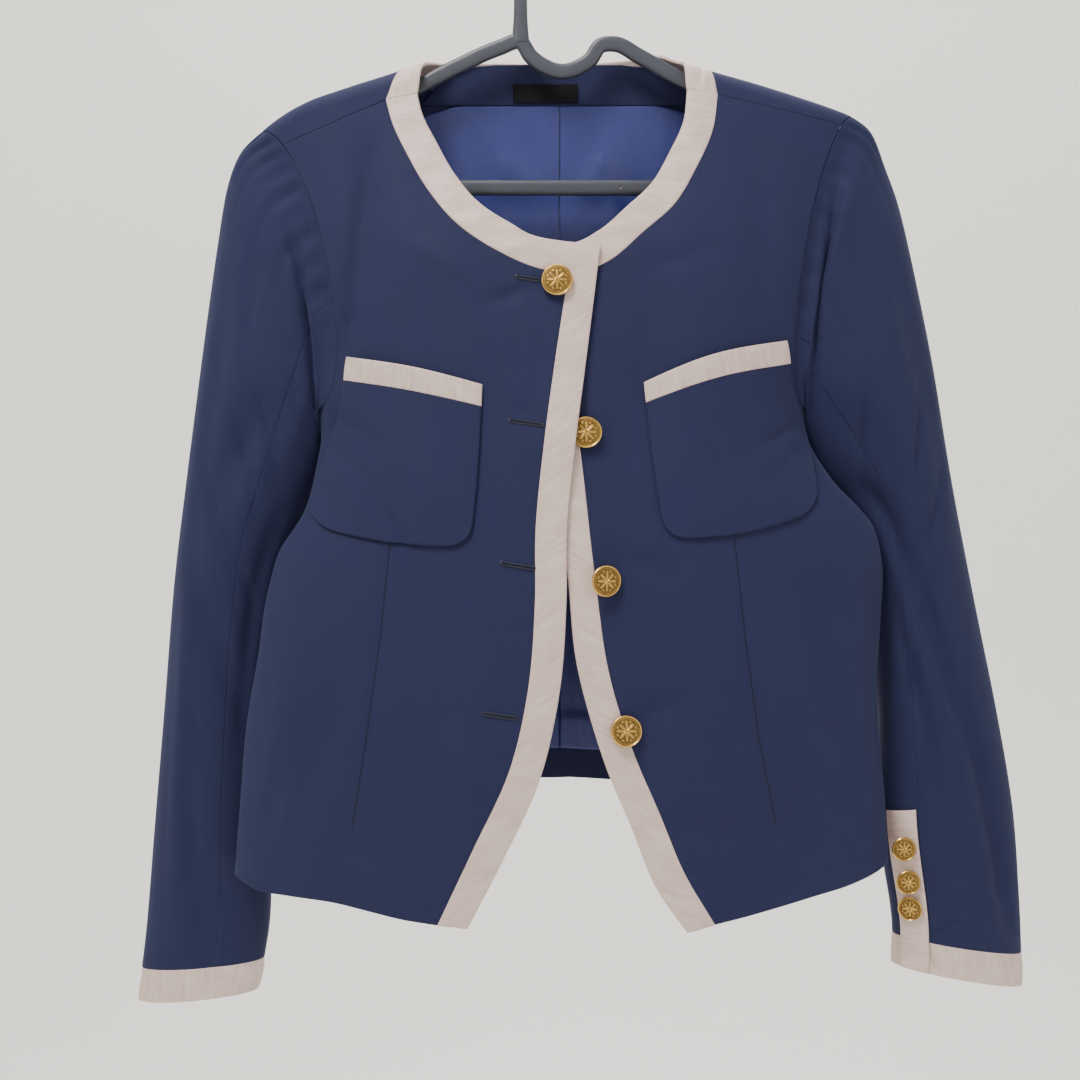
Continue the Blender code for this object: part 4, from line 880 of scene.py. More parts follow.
def gold_look(name):
    """Gold: bright raised work over hollows darkened with painted shade, with fine handling scratches."""
    tree, where = look(name)
    # Painted shade: the button's recess attribute darkens the gold to brown in its hollows and under its rim,
    # and a noise breaks it up.
    height = add(tree, "Attribute", {"attribute_name": "recess"}).outputs["Fac"]
    grain = noise(tree, where, 1800.0, 3.0, 0.6)
    shade_mottle = noise(tree, where, 260.0, 3.0, 0.6)
    share = maths(tree, "SUBTRACT", height, maths(tree, "MULTIPLY", shade_mottle, 0.35), clamp=True)
    colour = mixed(tree, share, (0.66, 0.41, 0.12), (0.075, 0.038, 0.010))
    roughness = maths(tree, "ADD", 0.24, maths(tree, "MULTIPLY", share, 0.4))
    return finish_look(name, tree, colour, roughness, bumped(tree, grain, 0.00006, 0.5), Metallic=1.0)


def plastic_look(name):
    """Slate grey moulded plastic, satin to the touch, a little scuffed."""
    tree, place = look(name, "Object")
    grain = noise(tree, place, 2600.0, 2.0, 0.5)
    flow = noise(tree, place, 34.0, 3.0, 0.55)
    scuffs = noise(tree, stretched(tree, place, 0.25, 1.0), 420.0, 4.0, 0.7)
    worn = add(tree, "MapRange", Value=scuffs, From_Min=0.6, From_Max=0.74).outputs[0]
    colour = mixed(tree, flow, (0.040, 0.044, 0.060), (0.060, 0.065, 0.086))
    colour = mixed(tree, maths(tree, "MULTIPLY", worn, 0.35), colour, (0.13, 0.138, 0.16))
    normal = bumped(tree, flow, 0.0005, 0.25, bumped(tree, grain, 0.00008, 0.4))
    roughness = maths(tree, "ADD", 0.38, maths(tree, "MULTIPLY", worn, 0.2))
    return finish_look(name, tree, colour, roughness, normal)


def tape_look(name):
    """Black woven tape with close ribs."""
    tree, where = look(name)
    ribs = add(tree, "TexWave", {"bands_direction": "Y"}, Vector=where, Scale=420.0,
               Distortion=0.4).outputs["Fac"]
    threads = noise(tree, stretched(tree, where, 1.0, 0.2), 2400.0, 2.0, 0.5)
    share = maths(tree, "MULTIPLY", maths(tree, "ADD", ribs, threads), 0.5)
    colour = mixed(tree, share, (0.0018, 0.0018, 0.0024), (0.0085, 0.0085, 0.0105))
    return finish_look(name, tree, colour, 0.75, bumped(tree, share, 0.0002, 0.6),
                       Specular_IOR_Level=0.15)


def thread_look(name):
    """Navy buttonhole twist."""
    tree, place = look(name, "Object")
    ply = noise(tree, place, 3200.0, 2.0, 0.5)
    colour = mixed(tree, ply, (0.0035, 0.0048, 0.017), (0.0105, 0.0135, 0.040))
    return finish_look(name, tree, colour, 0.55, bumped(tree, ply, 0.00012, 0.7))


def stage_look(name):
    """Pale matte paper of the floor and the round wall."""
    tree, place = look(name, "Object")
    fibres = noise(tree, place, 90.0, 3.0, 0.6)
    share = weighted(tree, (fibres, 0.4), (noise(tree, place, 1.4, 2.0, 0.5), 0.6))
    colour = mixed(tree, share, (0.80, 0.785, 0.755), (0.86, 0.845, 0.815))
    return finish_look(name, tree, colour, 0.85, bumped(tree, fibres, 0.0006, 0.25))


# Making of the pieces

def add_object(name, vertices, faces, look_made, spots=None, spot_faces=None):
    """A body from points in millimetres. spots are its UV places in metres."""
    mesh = bpy.data.meshes.new(name)
    mesh.from_pydata((np.asarray(vertices, dtype=float) * MM).tolist(), [], faces)
    if spots is not None:
        layer = mesh.uv_layers.new(name="cut")
        index = np.empty(len(mesh.loops), dtype=np.int32)
        mesh.loops.foreach_get("vertex_index", index)
        layer.data.foreach_set("uv", (np.asarray(spots, dtype=float) * MM)[index].ravel())
    mesh.materials.append(look_made)
    mesh.shade_smooth()
    mesh.set_sharp_from_angle(angle=math.radians(62))
    made = bpy.data.objects.new(name, mesh)
    bpy.context.scene.collection.objects.link(made)
    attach(made, BODY)
    return made


def wall(name, outer, inner, look_made, spots):
    """Closed wall between an outer and an inner grid; its outer faces look along the outer side."""
    rows, columns = outer.shape[:2]
    count = rows * columns
    vertices = np.vstack([outer.reshape(-1, 3), inner.reshape(-1, 3)])
    index = np.arange(count).reshape(rows, columns)
    cells = np.stack([index[:-1, :-1], index[:-1, 1:], index[1:, 1:], index[1:, :-1]], axis=-1)
    cells = cells.reshape(-1, 4)
    faces = np.vstack([cells, cells[:, ::-1] + count]).tolist()
    rim = list(index[0]) + list(index[1:, -1]) + list(index[-1, -2::-1]) + list(index[-2:0:-1, 0])
    for here, there in zip(rim, rim[1:] + rim[:1]):
        faces.append([int(there), int(here), int(here + count), int(there + count)])
    cell = cells[len(cells) // 2]
    corner = outer.reshape(-1, 3)[cell]
    across = np.cross(corner[1] - corner[0], corner[2] - corner[0])
    if across.dot(corner.mean(axis=0) - vertices[cell + count].mean(axis=0)) < 0:
        faces = [face[::-1] for face in faces]
    flat = np.asarray(spots, dtype=float).reshape(-1, 2)
    return add_object(name, vertices, faces, look_made, np.vstack([flat, flat]))


def ring_faces(rows, sides, start=0, closed=False):
    """Faces between rings of points that follow each other."""
    return [[start + row * sides + step, start + row * sides + (step + 1) % sides,
             start + (row + 1) % rows * sides + (step + 1) % sides, start + (row + 1) % rows * sides + step]
            for row in range(rows if closed else rows - 1) for step in range(sides)]


def with_lines(grids, edge, distances):
    """Grids with further lines close to one edge, at distances in millimetres from it."""
    axis = 0 if edge.endswith("row") else 1
    flip = edge.startswith("last")
    turned = [np.moveaxis(grid, axis, 0) for grid in grids]
    turned = [grid[::-1] if flip else grid for grid in turned]
    span = np.linalg.norm(turned[0][1] - turned[0][0], axis=-1, keepdims=True)
    made = []
    for grid in turned:
        lines = [grid[0] + (grid[1] - grid[0]) * np.clip(step / np.maximum(span, 1e-6), 0, 0.3 * (place + 1))
                 for place, step in enumerate(distances)]
        made.append(np.concatenate([grid[:1], np.array(lines), grid[1:]]))
    made = [grid[::-1] if flip else grid for grid in made]
    return [np.moveaxis(grid, 0, axis) for grid in made]


def rolled(grids, seams, frees):
    """Grids with lines for the rolls at their edges, and the dips of the outer and inner sides."""
    for edge in EDGES:
        if edge in seams:
            grids = with_lines(grids, edge, (0.4, 1.1))
        if edge in frees:
            grids = with_lines(grids, edge, (0.3, 1.0))
    dip = np.zeros(grids[0].shape[:2])
    under = np.zeros(grids[0].shape[:2])
    for edge, (axis, start, step) in EDGES.items():
        deep, inward = (SEAM_DIP, 0.0) if edge in seams else (FREE_DIP, FREE_DIP)
        for count, share in enumerate((1.0, 0.28)):
            at = start + step * count
            row = np.moveaxis(dip, axis, 0)
            row[at] = np.maximum(row[at], deep * share)
            row = np.moveaxis(under, axis, 0)
            row[at] = np.maximum(row[at], inward * share * 0.9)
    return grids, dip[..., None], under[..., None]


def cloth(name, node, points, facing, spots, seams, look_made, thickness=CLOTH,
          proud=0.0):
    """A sewn piece in the place of its node: pulled in at its seams, rounded at its other edges."""
    frees = [edge for edge in EDGES if edge not in seams]
    grids, dip, under = rolled([pull_in(points, seams), facing, spots], seams, frees)
    made = wall(name, grids[0] + grids[1] * (proud - dip), grids[0] - grids[1] * (thickness - under),
                look_made, grids[2])
    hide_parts(node)


def grid_spots(points):
    """UV places of a grid: length across and down from its first corner."""
    across = np.linalg.norm(np.diff(points, axis=1), axis=-1)
    across = np.concatenate([np.zeros((len(points), 1)), np.cumsum(across, axis=1)], axis=1)
    down = np.linalg.norm(np.diff(points, axis=0), axis=-1)
    down = np.concatenate([np.zeros((1, points.shape[1])), np.cumsum(down, axis=0)], axis=0)
    return np.stack([across, -down], axis=-1)


def puckers(length, side):
    """Rise of a satin band along its length in millimetres, uneven and small."""
    first, second, third = (31.0, 17.3, 9.1) if side == RIGHT else (27.0, 19.1, 8.3)
    return (0.28 * np.sin(2 * math.pi * length / first + side)
            + 0.22 * np.sin(2 * math.pi * length / second + 2.1)
            + 0.12 * np.sin(2 * math.pi * length / third + 4.0 * side))


def crossing(z, x_share, heights):
    """Fine slanted creases across a band at given heights."""
    total = 0.0
    for index, height in enumerate(heights):
        slant = (9.0, -7.0, 5.0, -10.0)[index % 4]
        depth = (0.95, 0.7, 1.15, 0.6, 0.85)[index % 5]
        total = total + depth * np.exp(-((z - height - slant * (x_share - 0.5)) / 2.6)**2)
    return total


def hemmed(points, facing):
    """A panel with the shallow groove where its hem is caught."""
    from_hem = np.linalg.norm(points - points[-1:], axis=-1)
    groove = HEM_GROOVE * np.exp(-((from_hem - HEM_HEIGHT) / HEM_GROOVE_WIDTH)**2)
    return points - facing * groove[..., None]


def make_front(label, side):
    plan = front_plan(side)
    points, facing = surface(plan[..., 0], plan[..., 1], FRONT, side)
    facing = mitre(side, facing, np.linspace(SHOULDER_TURN[side], 180, ARMHOLE_CELLS + 1))
    reach = np.linalg.norm(np.diff(points[:, 0], axis=0), axis=-1)
    reach = np.concatenate([[0.0], np.cumsum(reach)])[:, None]
    from_seam = np.linalg.norm(points - points[:, :1], axis=-1)
    ease = np.exp(-(from_seam / 9.0)**2) * np.clip(from_seam / 2.0, 0, 1)
    points = points + facing * (0.55 * puckers(reach, side) * ease)[..., None]
    points = hemmed(points, facing)
    cloth(f"front_{label}_cloth", f"front_{label}", points, facing,
          plan, ["first_row", "first_column", "last_column"],
          crepe_look(f"crepe_front_{label}", DARTS[side]))


def make_front_band(label, side):
    free, seam = front_rows(side)
    share = np.linspace(0, 1, BAND_CELLS + 1)[None, :, None]
    plan = free[:, None] * (1 - share) + seam[:, None] * share
    points, facing = surface(plan[..., 0], plan[..., 1], FRONT, side)
    spots = grid_spots(points)
    across = share[..., 0]
    crown = np.sin(math.pi * across)
    rise = (puckers(-spots[..., 1], side) * (0.35 + 0.65 * crown)
            - crossing(plan[..., 1], across, BAND_PUCKERS[side])) * np.clip(crown * 2.2, 0, 1)
    points = points + facing * (0.35 * crown + rise)[..., None]
    cloth(f"front_band_{label}_satin", f"front_band_{label}",
          points, facing, spots, ["first_row", "last_column"], LOOKS["satin"], CLOTH, BAND_PROUD)


def make_back(label, side):
    plan = back_plan(side)
    points, facing = back_points(plan)
    yoke = np.linspace(SHOULDER_TURN[side], 0, YOKE_CELLS + 1)
    facing = mitre(side, facing, np.concatenate([yoke, 360 - back_turns()[1:]]))
    points = hemmed(points, facing)
    spots = np.stack([plan[..., 0], -plan[..., 1]], axis=-1)
    cloth(f"back_{label}_cloth", f"back_{label}", points, facing,
          spots, ["first_row", "first_column", "last_column"],
          crepe_look(f"crepe_back_{label}", BACK_DARTS[side]))


def make_neck_band():
    halves = []
    for side in (RIGHT, LEFT):
        seam = back_plan(side)[0, :len(NECK_SHARES)]
        x_free, z_free = NECK_EDGE[side][0][:2]
        free = [(side * x * NECK_REACH[side], turn_length(side * x, z, face))
                for x, z, face in BACK_NECK_FREE]
        free.append((side * NECK_RIDGE[side], 0.0))
        free.append((x_free, turn_length(x_free, z_free, FRONT)))
        halves.append((along(free, NECK_SHARES), seam))
    free = np.vstack([halves[0][0][::-1], halves[1][0][1:]])
    seam = np.vstack([halves[0][1][::-1], halves[1][1][1:]])
    share = np.linspace(0, 1, BAND_CELLS + 1)[None, :, None]
    points, facing = back_points(free[:, None] * (1 - share) + seam[:, None] * share)
    spots = grid_spots(points)[..., ::-1]
    crown = np.sin(math.pi * share[..., 0])
    rise = 0.3 * crown + 0.7 * puckers(-spots[..., 0], RIGHT) * crown
    points = points + facing * rise[..., None]
    cloth("back_neck_band_satin", "back_neck_band", points, facing, spots,
          ["first_row", "last_row", "last_column"], LOOKS["satin"], CLOTH, BAND_PROUD)


def make_sleeve(label, side):
    keys = np.linspace(0, SEAM_ROW, SLEEVE_CELLS + 1)
    lines = len(ring_turns(side))
    stretches = {"under": (FORE_SEAM[side], HIND_SEAM[side]),
                 "upper": (HIND_SEAM[side], FORE_SEAM[side] + lines)}
    for part, (first, last) in stretches.items():
        points, facing = sleeve_strip(side, first, last, keys)
        points = pull_in(points, ["first_row"], ARMHOLE_EASE)
        cloth(f"sleeve_{label}_{part}_cloth", f"sleeve_{label}_{part}",
              points, facing, grid_spots(points),
              list(EDGES), LOOKS["crepe"])
    vent = VENT_SEAM[side]
    cuff_keys = np.linspace(SEAM_ROW, CUFF_ROW, 2 * CUFF_CELLS + 1)
    points, facing = sleeve_strip(side, vent, vent + lines, cuff_keys)
    spots = grid_spots(points)
    share = np.linspace(0, 1, len(cuff_keys))[:, None]
    crown = np.sin(math.pi * share)
    creases = crossing(spots[..., 0], share, CUFF_PUCKERS)
    rise = (puckers(spots[..., 0], side) * 0.8 - creases) * np.clip(crown * 2.2, 0, 1) + 0.35 * crown
    points = points + facing * rise[..., None]
    cloth(f"cuff_band_{label}_satin", f"cuff_band_{label}",
          points, facing,
          spots[..., ::-1], ["first_row", "first_column", "last_column"], LOOKS["satin"])


def make_placket(label, side):
    """Satin placket beside the vent, with its three buttons."""
    turns = ring_turns(side)
    start = turns[VENT_SEAM[side] % len(turns)]
    keys = np.linspace(6, CUFF_ROW, 200)
    heights = sleeve_surface(side, keys, start)[0][:, 2]
    fine = start + PLACKET_SIDE[side] * np.linspace(0, 70, 141)
    at_top = np.interp(-PLACKET_TOP[side], -heights, keys)
    across = sleeve_surface(side, at_top, fine)[0]
    reach = np.concatenate([[0], np.cumsum(np.linalg.norm(np.diff(across, axis=0), axis=1))])
    far = np.interp(PLACKET_WIDTH, reach, fine)
    cells = 12
    rows = np.linspace(at_top, CUFF_ROW - 0.02, 5 * cells)
    columns = np.linspace(start + PLACKET_SIDE[side] * 0.8, far, cells + 1)
    points, facing = sleeve_surface(side, rows[:, None], columns[None, :])
    spots = grid_spots(points)
    share = np.linspace(0, 1, cells + 1)[None, :]
    crown = np.sin(math.pi * share)
    rise = (puckers(-spots[..., 1], side) * 0.7 - crossing(points[..., 2], share, PLACKET_PUCKERS[side]))
    points = points + facing * (LAY_GAP + PATCH - 0.5 + rise * np.clip(crown * 2, 0, 1) * 0.6
                                + 0.4 * crown)[..., None]
    cloth(f"placket_{label}_satin", f"placket_{label}",
          points, facing, spots, [], LOOKS["satin"], PATCH - 0.5)
    middle = (start + far) / 2
    for index, height in enumerate(CUFF_BUTTON_HEIGHTS[side]):
        key = np.interp(-height, -heights, keys)
        place, out = sleeve_surface(side, key, middle)
        make_button(f"button_cuff_{label}_{index + 1}", CUFF_BUTTON, place + out * (LAY_GAP + PATCH), out,
                    CUFF_BUTTON_TILT[side][index], 0)


def rosette(reach, turn):
    """Height and painted shade of a button's worked face, the shade deepest where the face lies low: reach is
    0 at its middle and 1 at its rim.
    """
    rim = np.exp(-((reach - 0.93) / 0.045)**2)
    beads = np.exp(-((reach - 0.79) / 0.035)**2) * (0.5 + 0.5 * np.cos(32 * turn))**2
    petal_reach = 0.42 + 0.2 * np.cos(8 * turn)
    petals = 1 / (1 + np.exp((reach - petal_reach) / 0.022)) * (0.62 + 0.38 * np.cos(8 * turn))
    veins = np.exp(-((np.mod(turn + math.pi / 8, math.pi / 4) - math.pi / 8) / 0.05)**2)
    veins = veins * np.clip((reach - 0.2) * 6, 0, 1) * np.clip((0.56 - reach) * 12, 0, 1)
    leaves = np.exp(-((reach - 0.62) / 0.06)**2) * (0.5 - 0.5 * np.cos(8 * turn))**3
    boss = np.exp(-(reach / 0.16)**4)
    raised = rim + 0.55 * beads + 0.62 * petals - 0.35 * veins + 0.5 * leaves + 0.5 * boss
    return raised, np.clip(1.0 - raised / 0.85, 0, 1)


def make_button(node, width, seat, out, upright_tilt, level_tilt):
    """Cast metal shank button with a raised rosette inside a beaded rim."""
    radius = width / 2
    tilt = math.radians(max(abs(upright_tilt), abs(level_tilt)))
    lift = max(radius * math.sin(tilt) - TILT_ROOM, 0.0)
    axis = Vector(out)
    turn = Vector((0, 0, 1))
    level = turn.cross(axis).normalized()
    axis = Matrix.Rotation(math.radians(upright_tilt), 3, turn) @ axis
    axis = Matrix.Rotation(math.radians(level_tilt), 3, level) @ axis
    first = turn.cross(axis).normalized()
    second = axis.cross(first)
    base = np.array(Vector(seat) + axis * (SEAM_GAP + SHANK * math.sin(tilt)))
    sides = 192
    rings = 46
    profile = [(SHANK, 0.0), (SHANK, 1.5 + lift), (0.55 * radius, 1.9 + lift), (0.9 * radius, 2.0 + lift),
               (0.975 * radius, 2.35 + lift), (radius, 2.9 + lift), (0.985 * radius, 3.45 + lift)]
    face_height = 3.7 - ROSETTE_RISE + lift
    angles = np.linspace(0, 2 * math.pi, sides, endpoint=False)
    ring = np.outer(np.cos(angles), np.array(first)) + np.outer(np.sin(angles), np.array(second))
    vertices, recess, spots = [], [], []
    for reach, height in profile:
        vertices.append(base + ring * reach + np.array(axis) * height)
        # Painted shade: a little on the rim's outer side, more on the shank and under the rim.
        recess.append(np.full(sides, 0.15 if height > 2 else 0.5))
        spots.append(np.column_stack([angles * radius, np.full(sides, height - 20.0)]))
    for share in np.linspace(0.95, 0.02, rings):
        raised, dark = rosette(share, angles)
        height = face_height + BUTTON_DOME * (1 - share**2) + ROSETTE_RISE * raised
        vertices.append(base + ring * (share * radius) + np.array(axis) * height[:, None])
        recess.append(dark)
        spots.append(ring_spots(angles, share * radius))
    faces = [list(range(sides))[::-1]] + ring_faces(len(vertices), sides)
    top = (len(vertices) - 1) * sides
    count = len(vertices) * sides
    raised, dark = rosette(np.zeros(1), np.zeros(1))
    middle_height = face_height + BUTTON_DOME + ROSETTE_RISE * raised[0]
    vertices.append(base[None] + np.array(axis)[None] * middle_height)
    recess.append(np.zeros(1))
    spots.append(np.zeros((1, 2)))
    faces += [[count, top + step, top + (step + 1) % sides] for step in range(sides)]
    made = add_object(f"{node}_rosette", np.vstack(vertices), faces, LOOKS["gold"], np.vstack(spots))
    # Each point's painted shade, which the gold material turns into a darker colour.
    values = made.data.attributes.new("recess", "FLOAT", "POINT")
    values.data.foreach_set("value", np.concatenate(recess).astype(np.float32))
    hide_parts(node)


def ring_spots(angles, reach):
    return np.column_stack([np.cos(angles) * reach, np.sin(angles) * reach])


def make_pocket(label, side):
    """Pillowed patch pocket with rounded lower corners, under a satin band."""
    shape = POCKET[side]
    cells = POCKET_CELLS
    share = np.linspace(0, 1, cells + 1)
    top, bottom = along(shape["top"], share), along(shape["bottom"], share)
    outer_side, inner_side = along(shape["side"], share), along(shape["inner"], share)
    plan = coons(top, bottom, outer_side, inner_side)
    reach = np.linalg.norm(shape["top"][0] - np.array(shape["top"][-1]))
    corner = POCKET_CORNER / reach
    for column, across in enumerate(share):
        near = min(across, 1 - across)
        if near < corner:
            rise = POCKET_CORNER * (1 - math.sqrt(1 - (1 - near / corner)**2))
            plan[:, column, 1] += rise * share**3
    height = np.linalg.norm(plan[-1, cells // 2] - plan[0, cells // 2])
    band_share = POCKET_BAND / height
    band_rows = 9
    rows = np.concatenate([np.linspace(0, band_share, band_rows + 1),
                           np.linspace(band_share, 1, cells + 1)[1:]])
    columns = [np.array([np.interp(rows, share, plan[:, column, axis]) for axis in (0, 1)]).T
               for column in range(cells + 1)]
    plan = np.stack(columns, axis=1)
    points, facing = surface(plan[..., 0], plan[..., 1], FRONT, side)
    down = rows[:, None]
    side_swell = np.clip(1 - np.abs(2 * share[None, :] - 1)**5, 0, 1)
    low_swell = np.clip(1 - np.clip(2 * down - 1, 0, 1)**5, 0, 1)
    swell = side_swell * low_swell * (1.1 + 0.7 * np.sin(math.pi * np.clip(down, 0, 1)))
    dents = sum(trough(plan[..., 0], plan[..., 1], row) for row in POCKET_CREASES)
    lip = 1.3 * np.exp(-(down / 0.09)**2) * np.sin(math.pi * share[None, :])**0.7
    base = points + facing * (POCKET_LIFT + swell - dents * side_swell + lip)[..., None]
    body, band = slice(band_rows, None), slice(0, band_rows + 1)
    cloth(f"pocket_{label}_cloth", f"pocket_{label}",
          base[body], facing[body], plan[body], ["first_row"], LOOKS["crepe"], PATCH)
    satin_spots = grid_spots(base[band])[..., ::-1]
    length = np.linalg.norm(base[band] - base[band][:, :1], axis=-1)
    crown = np.sin(math.pi * np.linspace(0, 1, band_rows + 1))[:, None]
    rise = puckers(length, side) * (0.25 + 0.6 * crown) + 0.3 * crown
    band_points = base[band] + facing[band] * rise[..., None]
    cloth(f"pocket_band_{label}_satin", f"pocket_band_{label}",
          band_points, facing[band], satin_spots, ["last_row"], LOOKS["satin"], PATCH + BAND_PROUD,
          BAND_PROUD)


def make_buttonhole(name, x, z):
    """Worked buttonhole: two rows of close stitches round a slit, with a bar at each end."""
    slope = math.radians(BUTTONHOLE_SLOPE)
    ahead = np.array([math.cos(slope), math.sin(slope)])
    beside = np.array([-math.sin(slope), math.cos(slope)])
    stitches = []
    half = BUTTONHOLE_LENGTH / 2
    count = 44
    for place in np.linspace(-half + 0.8, half - 0.8, count):
        for way in (-1, 1):
            stitches.append((place, way * STITCH_ROOT, place, way * STITCH_REACH))
    for end in (-half, half - BAR_LENGTH):
        for place in np.linspace(0.0, BAR_LENGTH, 4):
            stitches.append((end + place, -BAR_HALF_WIDTH, end + place, BAR_HALF_WIDTH))
    vertices, faces = [], []
    middle = np.array([x, z])
    for start_along, start_beside, end_along, end_beside in stitches:
        first = middle + ahead * start_along + beside * start_beside
        run = ahead * (end_along - start_along) + beside * (end_beside - start_beside)
        here = len(vertices)
        for place, height in zip([first + run * share for share in (0.0, 0.25, 0.75, 1.0)], STITCH_HEIGHTS):
            point, out = surface(place[0], place[1], FRONT, RIGHT)
            for step in range(5):
                angle = 2 * math.pi * step / 5
                offset = np.array([ahead[0], 0, ahead[1]]) * math.cos(angle) * STITCH_RADIUS
                vertices.append(point + offset + out * (height + STITCH_RADIUS * math.sin(angle)))
        faces += ring_faces(4, 5, here)
        faces.append([here + step for step in range(5)])
        faces.append([here + 15 + step for step in range(4, -1, -1)])
    made = add_object(name, vertices, faces, LOOKS["thread"])
    outwards(made)
    return made


def outwards(piece):
    """Turn a piece's faces outwards."""
    shape = bmesh.new()
    shape.from_mesh(piece.data)
    bmesh.ops.recalc_face_normals(shape, faces=shape.faces)
    shape.to_mesh(piece.data)
    shape.free()


def inside_piece(name, node, x, z, gap, seams, look_made, thickness=LINING):
    """A sheet inside the back, its inner side a given gap and its own wall away from the back's."""
    x = np.broadcast_to(x, z.shape)
    points, facing = surface(x, z, BACK, 0)
    rise = CLOTH + INNER_GAP + LINING + gap
    cloth(name, node, points - facing * rise[..., None], -facing,
          np.stack([x, z], axis=-1), seams, look_made, thickness)


def sag(x, z):
    """How far the neck facing's lower edge stands in."""
    return 0.48 * np.exp(-((z - FACING_BOTTOM) / 9.0)**2) * (1 + 0.4 * np.sin(x / 11.0))


def back_hem(side, x):
    return smooth([(abs(row[0]), row[1]) for row in BACK_HEM[side]], np.abs(x))


def make_inside():
    """Neck facing, bare label, pleated lining and hem facing inside the back."""
    cells = 14
    short = np.linspace(0, 1, 2 * cells)[:, None]
    long = np.linspace(0, 1, 13 * cells)[:, None]
    x = (FACING_HALF_TOP + (FACING_HALF_BOTTOM - FACING_HALF_TOP) * short) * np.linspace(-1, 1, 6 * cells + 1)
    top = np.minimum(FACING_TOP, ridge(x) - FACING_DROP)
    z = top + (FACING_BOTTOM - top) * short
    inside_piece("back_neck_facing_cloth", "back_neck_facing", x, z, sag(x, z), [],
                 LOOKS["crepe"])

    x0, x1, z0, z1 = LABEL_BOX
    x, z = np.meshgrid(np.linspace(x0, x1, 6 * cells), np.linspace(z0, z1, 2 * cells))
    curl = LABEL_CURL * (x - x0) * (x1 - x) / ((x1 - x0) / 2)**2
    inside_piece("label_plain", "label_bare", x, z,
                 LABEL_GAP + LABEL_WALL + sag(x, z) - curl, [], LOOKS["tape"], LABEL_WALL)

    across = np.linspace(0.0, 1.0, 5 * cells + 1)
    half = INSIDE_START + (LINING_HALF_WIDTH - INSIDE_START) * across
    for side, name in ((RIGHT, "right"), (LEFT, "left")):
        x = side * half
        bottom = back_hem(side, x) + HEM_TURN
        top = FACING_BOTTOM - SEAM_GAP - LINING_SLOPE * np.clip(across - 0.5, 0, 1)**1.3
        z = top * (1 - long) + (bottom + 2 * SEAM_GAP) * long
        inside_piece(f"back_lining_{name}_satin", f"back_lining_{name}",
                     x, z, lining_lift(x, z, bottom), ["first_column"],
                     LOOKS["lining"])

    x = np.concatenate([-half[::-1], half])
    hem = np.where(x < 0, back_hem(RIGHT, x), back_hem(LEFT, x))
    z = (hem + HEM_TURN) * (1 - short) + (hem + HEM_RAISE) * short
    wave = 0.175 * np.sin(x / 13.0) + 0.1 * np.sin(x / 5.1 + 1)
    seam = 0.7 * np.exp(-(x / 1.1)**2)
    inside_piece("back_hem_facing_cloth", "back_hem_facing", x, z,
                 0.3 + wave - seam, [], LOOKS["crepe"])


def lining_lift(x, z, bottom):
    """How far the lining stands in from the back: soft vertical folds and the pleat above the hem."""
    total = sum(trough(x, z, row) for row in LINING_FOLDS)
    pleat = 1.6 / (1 + np.exp((z - bottom - PLEAT_HEIGHT) / 0.9))
    pleat = pleat * (1 + 0.25 * np.sin(x / 9.0))
    settle = np.clip((FACING_BOTTOM - z) / 12.0, 0, 1)
    return np.clip(total, -0.4, 4.0) * settle + pleat


def bar(path, height, depth, closed, sides=20):
    """Points and faces of a rounded bar along a path on the XZ plane."""
    path = np.array(path, dtype=float)
    if closed:
        run = np.roll(path, -1, axis=0) - np.roll(path, 1, axis=0)
    else:
        run = np.gradient(path, axis=0)
    run /= np.linalg.norm(run, axis=1, keepdims=True)
    height = np.broadcast_to(height, len(path))
    vertices = []
    for (x, z), (run_x, run_z), tall in zip(path, run, height):
        for step in range(sides):
            angle = 2 * math.pi * (step + 0.5) / sides
            up, across = math.sin(angle), math.cos(angle)
            up = math.copysign(abs(up)**0.62, up) * tall / 2
            across = math.copysign(abs(across)**0.62, across) * depth / 2
            vertices.append((x - run_z * up, across, z + run_x * up))
    faces = ring_faces(len(path), sides, closed=closed)
    if not closed:
        faces += [list(range(sides)), [(len(path) - 1) * sides + step for step in range(sides)]]
    return vertices, faces


def make_hanger():
    """Moulded hanger: frame with a strap notch each side of its stem, rail, hook and a moulding mark."""
    fineness = 420
    loop = along(SHOULDER_BAR + RAIL + SHOULDER_BAR[:1], np.linspace(0, 1, fineness + 1))[:-1]
    frame_points, frame_faces = bar(loop, HANGER_HEIGHT, HANGER_DEPTH, True)
    middle = -(HOOK_RADIUS - HOOK_HEIGHT / 2)
    stem = [(STEM_X, z) for z in np.linspace(STEM_FOOT, middle, 16)[:-1]]
    turns = np.radians(np.linspace(180, HOOK_END, 70))
    bend = [(HOOK_RADIUS * math.cos(turn), middle + HOOK_RADIUS * math.sin(turn)) for turn in turns]
    hook_path = stem + bend
    heights = np.full(len(hook_path), HOOK_HEIGHT)
    heights[:len(STEM_FLARE)] += STEM_FLARE
    heights[-len(HOOK_TIP):] *= HOOK_TIP
    hook_points, hook_faces = bar(hook_path, heights, HANGER_DEPTH + 0.8, False)
    start = len(frame_points)
    vertices = frame_points + hook_points
    faces = frame_faces + [[index + start for index in face] for face in hook_faces]
    mark_x, mark_z = MOULD_MARK
    start = len(vertices)
    for reach, height in MOULD_RINGS:
        for step in range(24):
            angle = 2 * math.pi * step / 24
            vertices.append((mark_x + reach * math.cos(angle), -HANGER_DEPTH / 2 - height,
                             mark_z + reach * math.sin(angle)))
    faces += ring_faces(5, 24, start)
    made = add_object("hanger_moulded", vertices, faces, LOOKS["plastic"],
                      [(vertex[0], vertex[2]) for vertex in vertices])
    outwards(made)
    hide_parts("hanger")


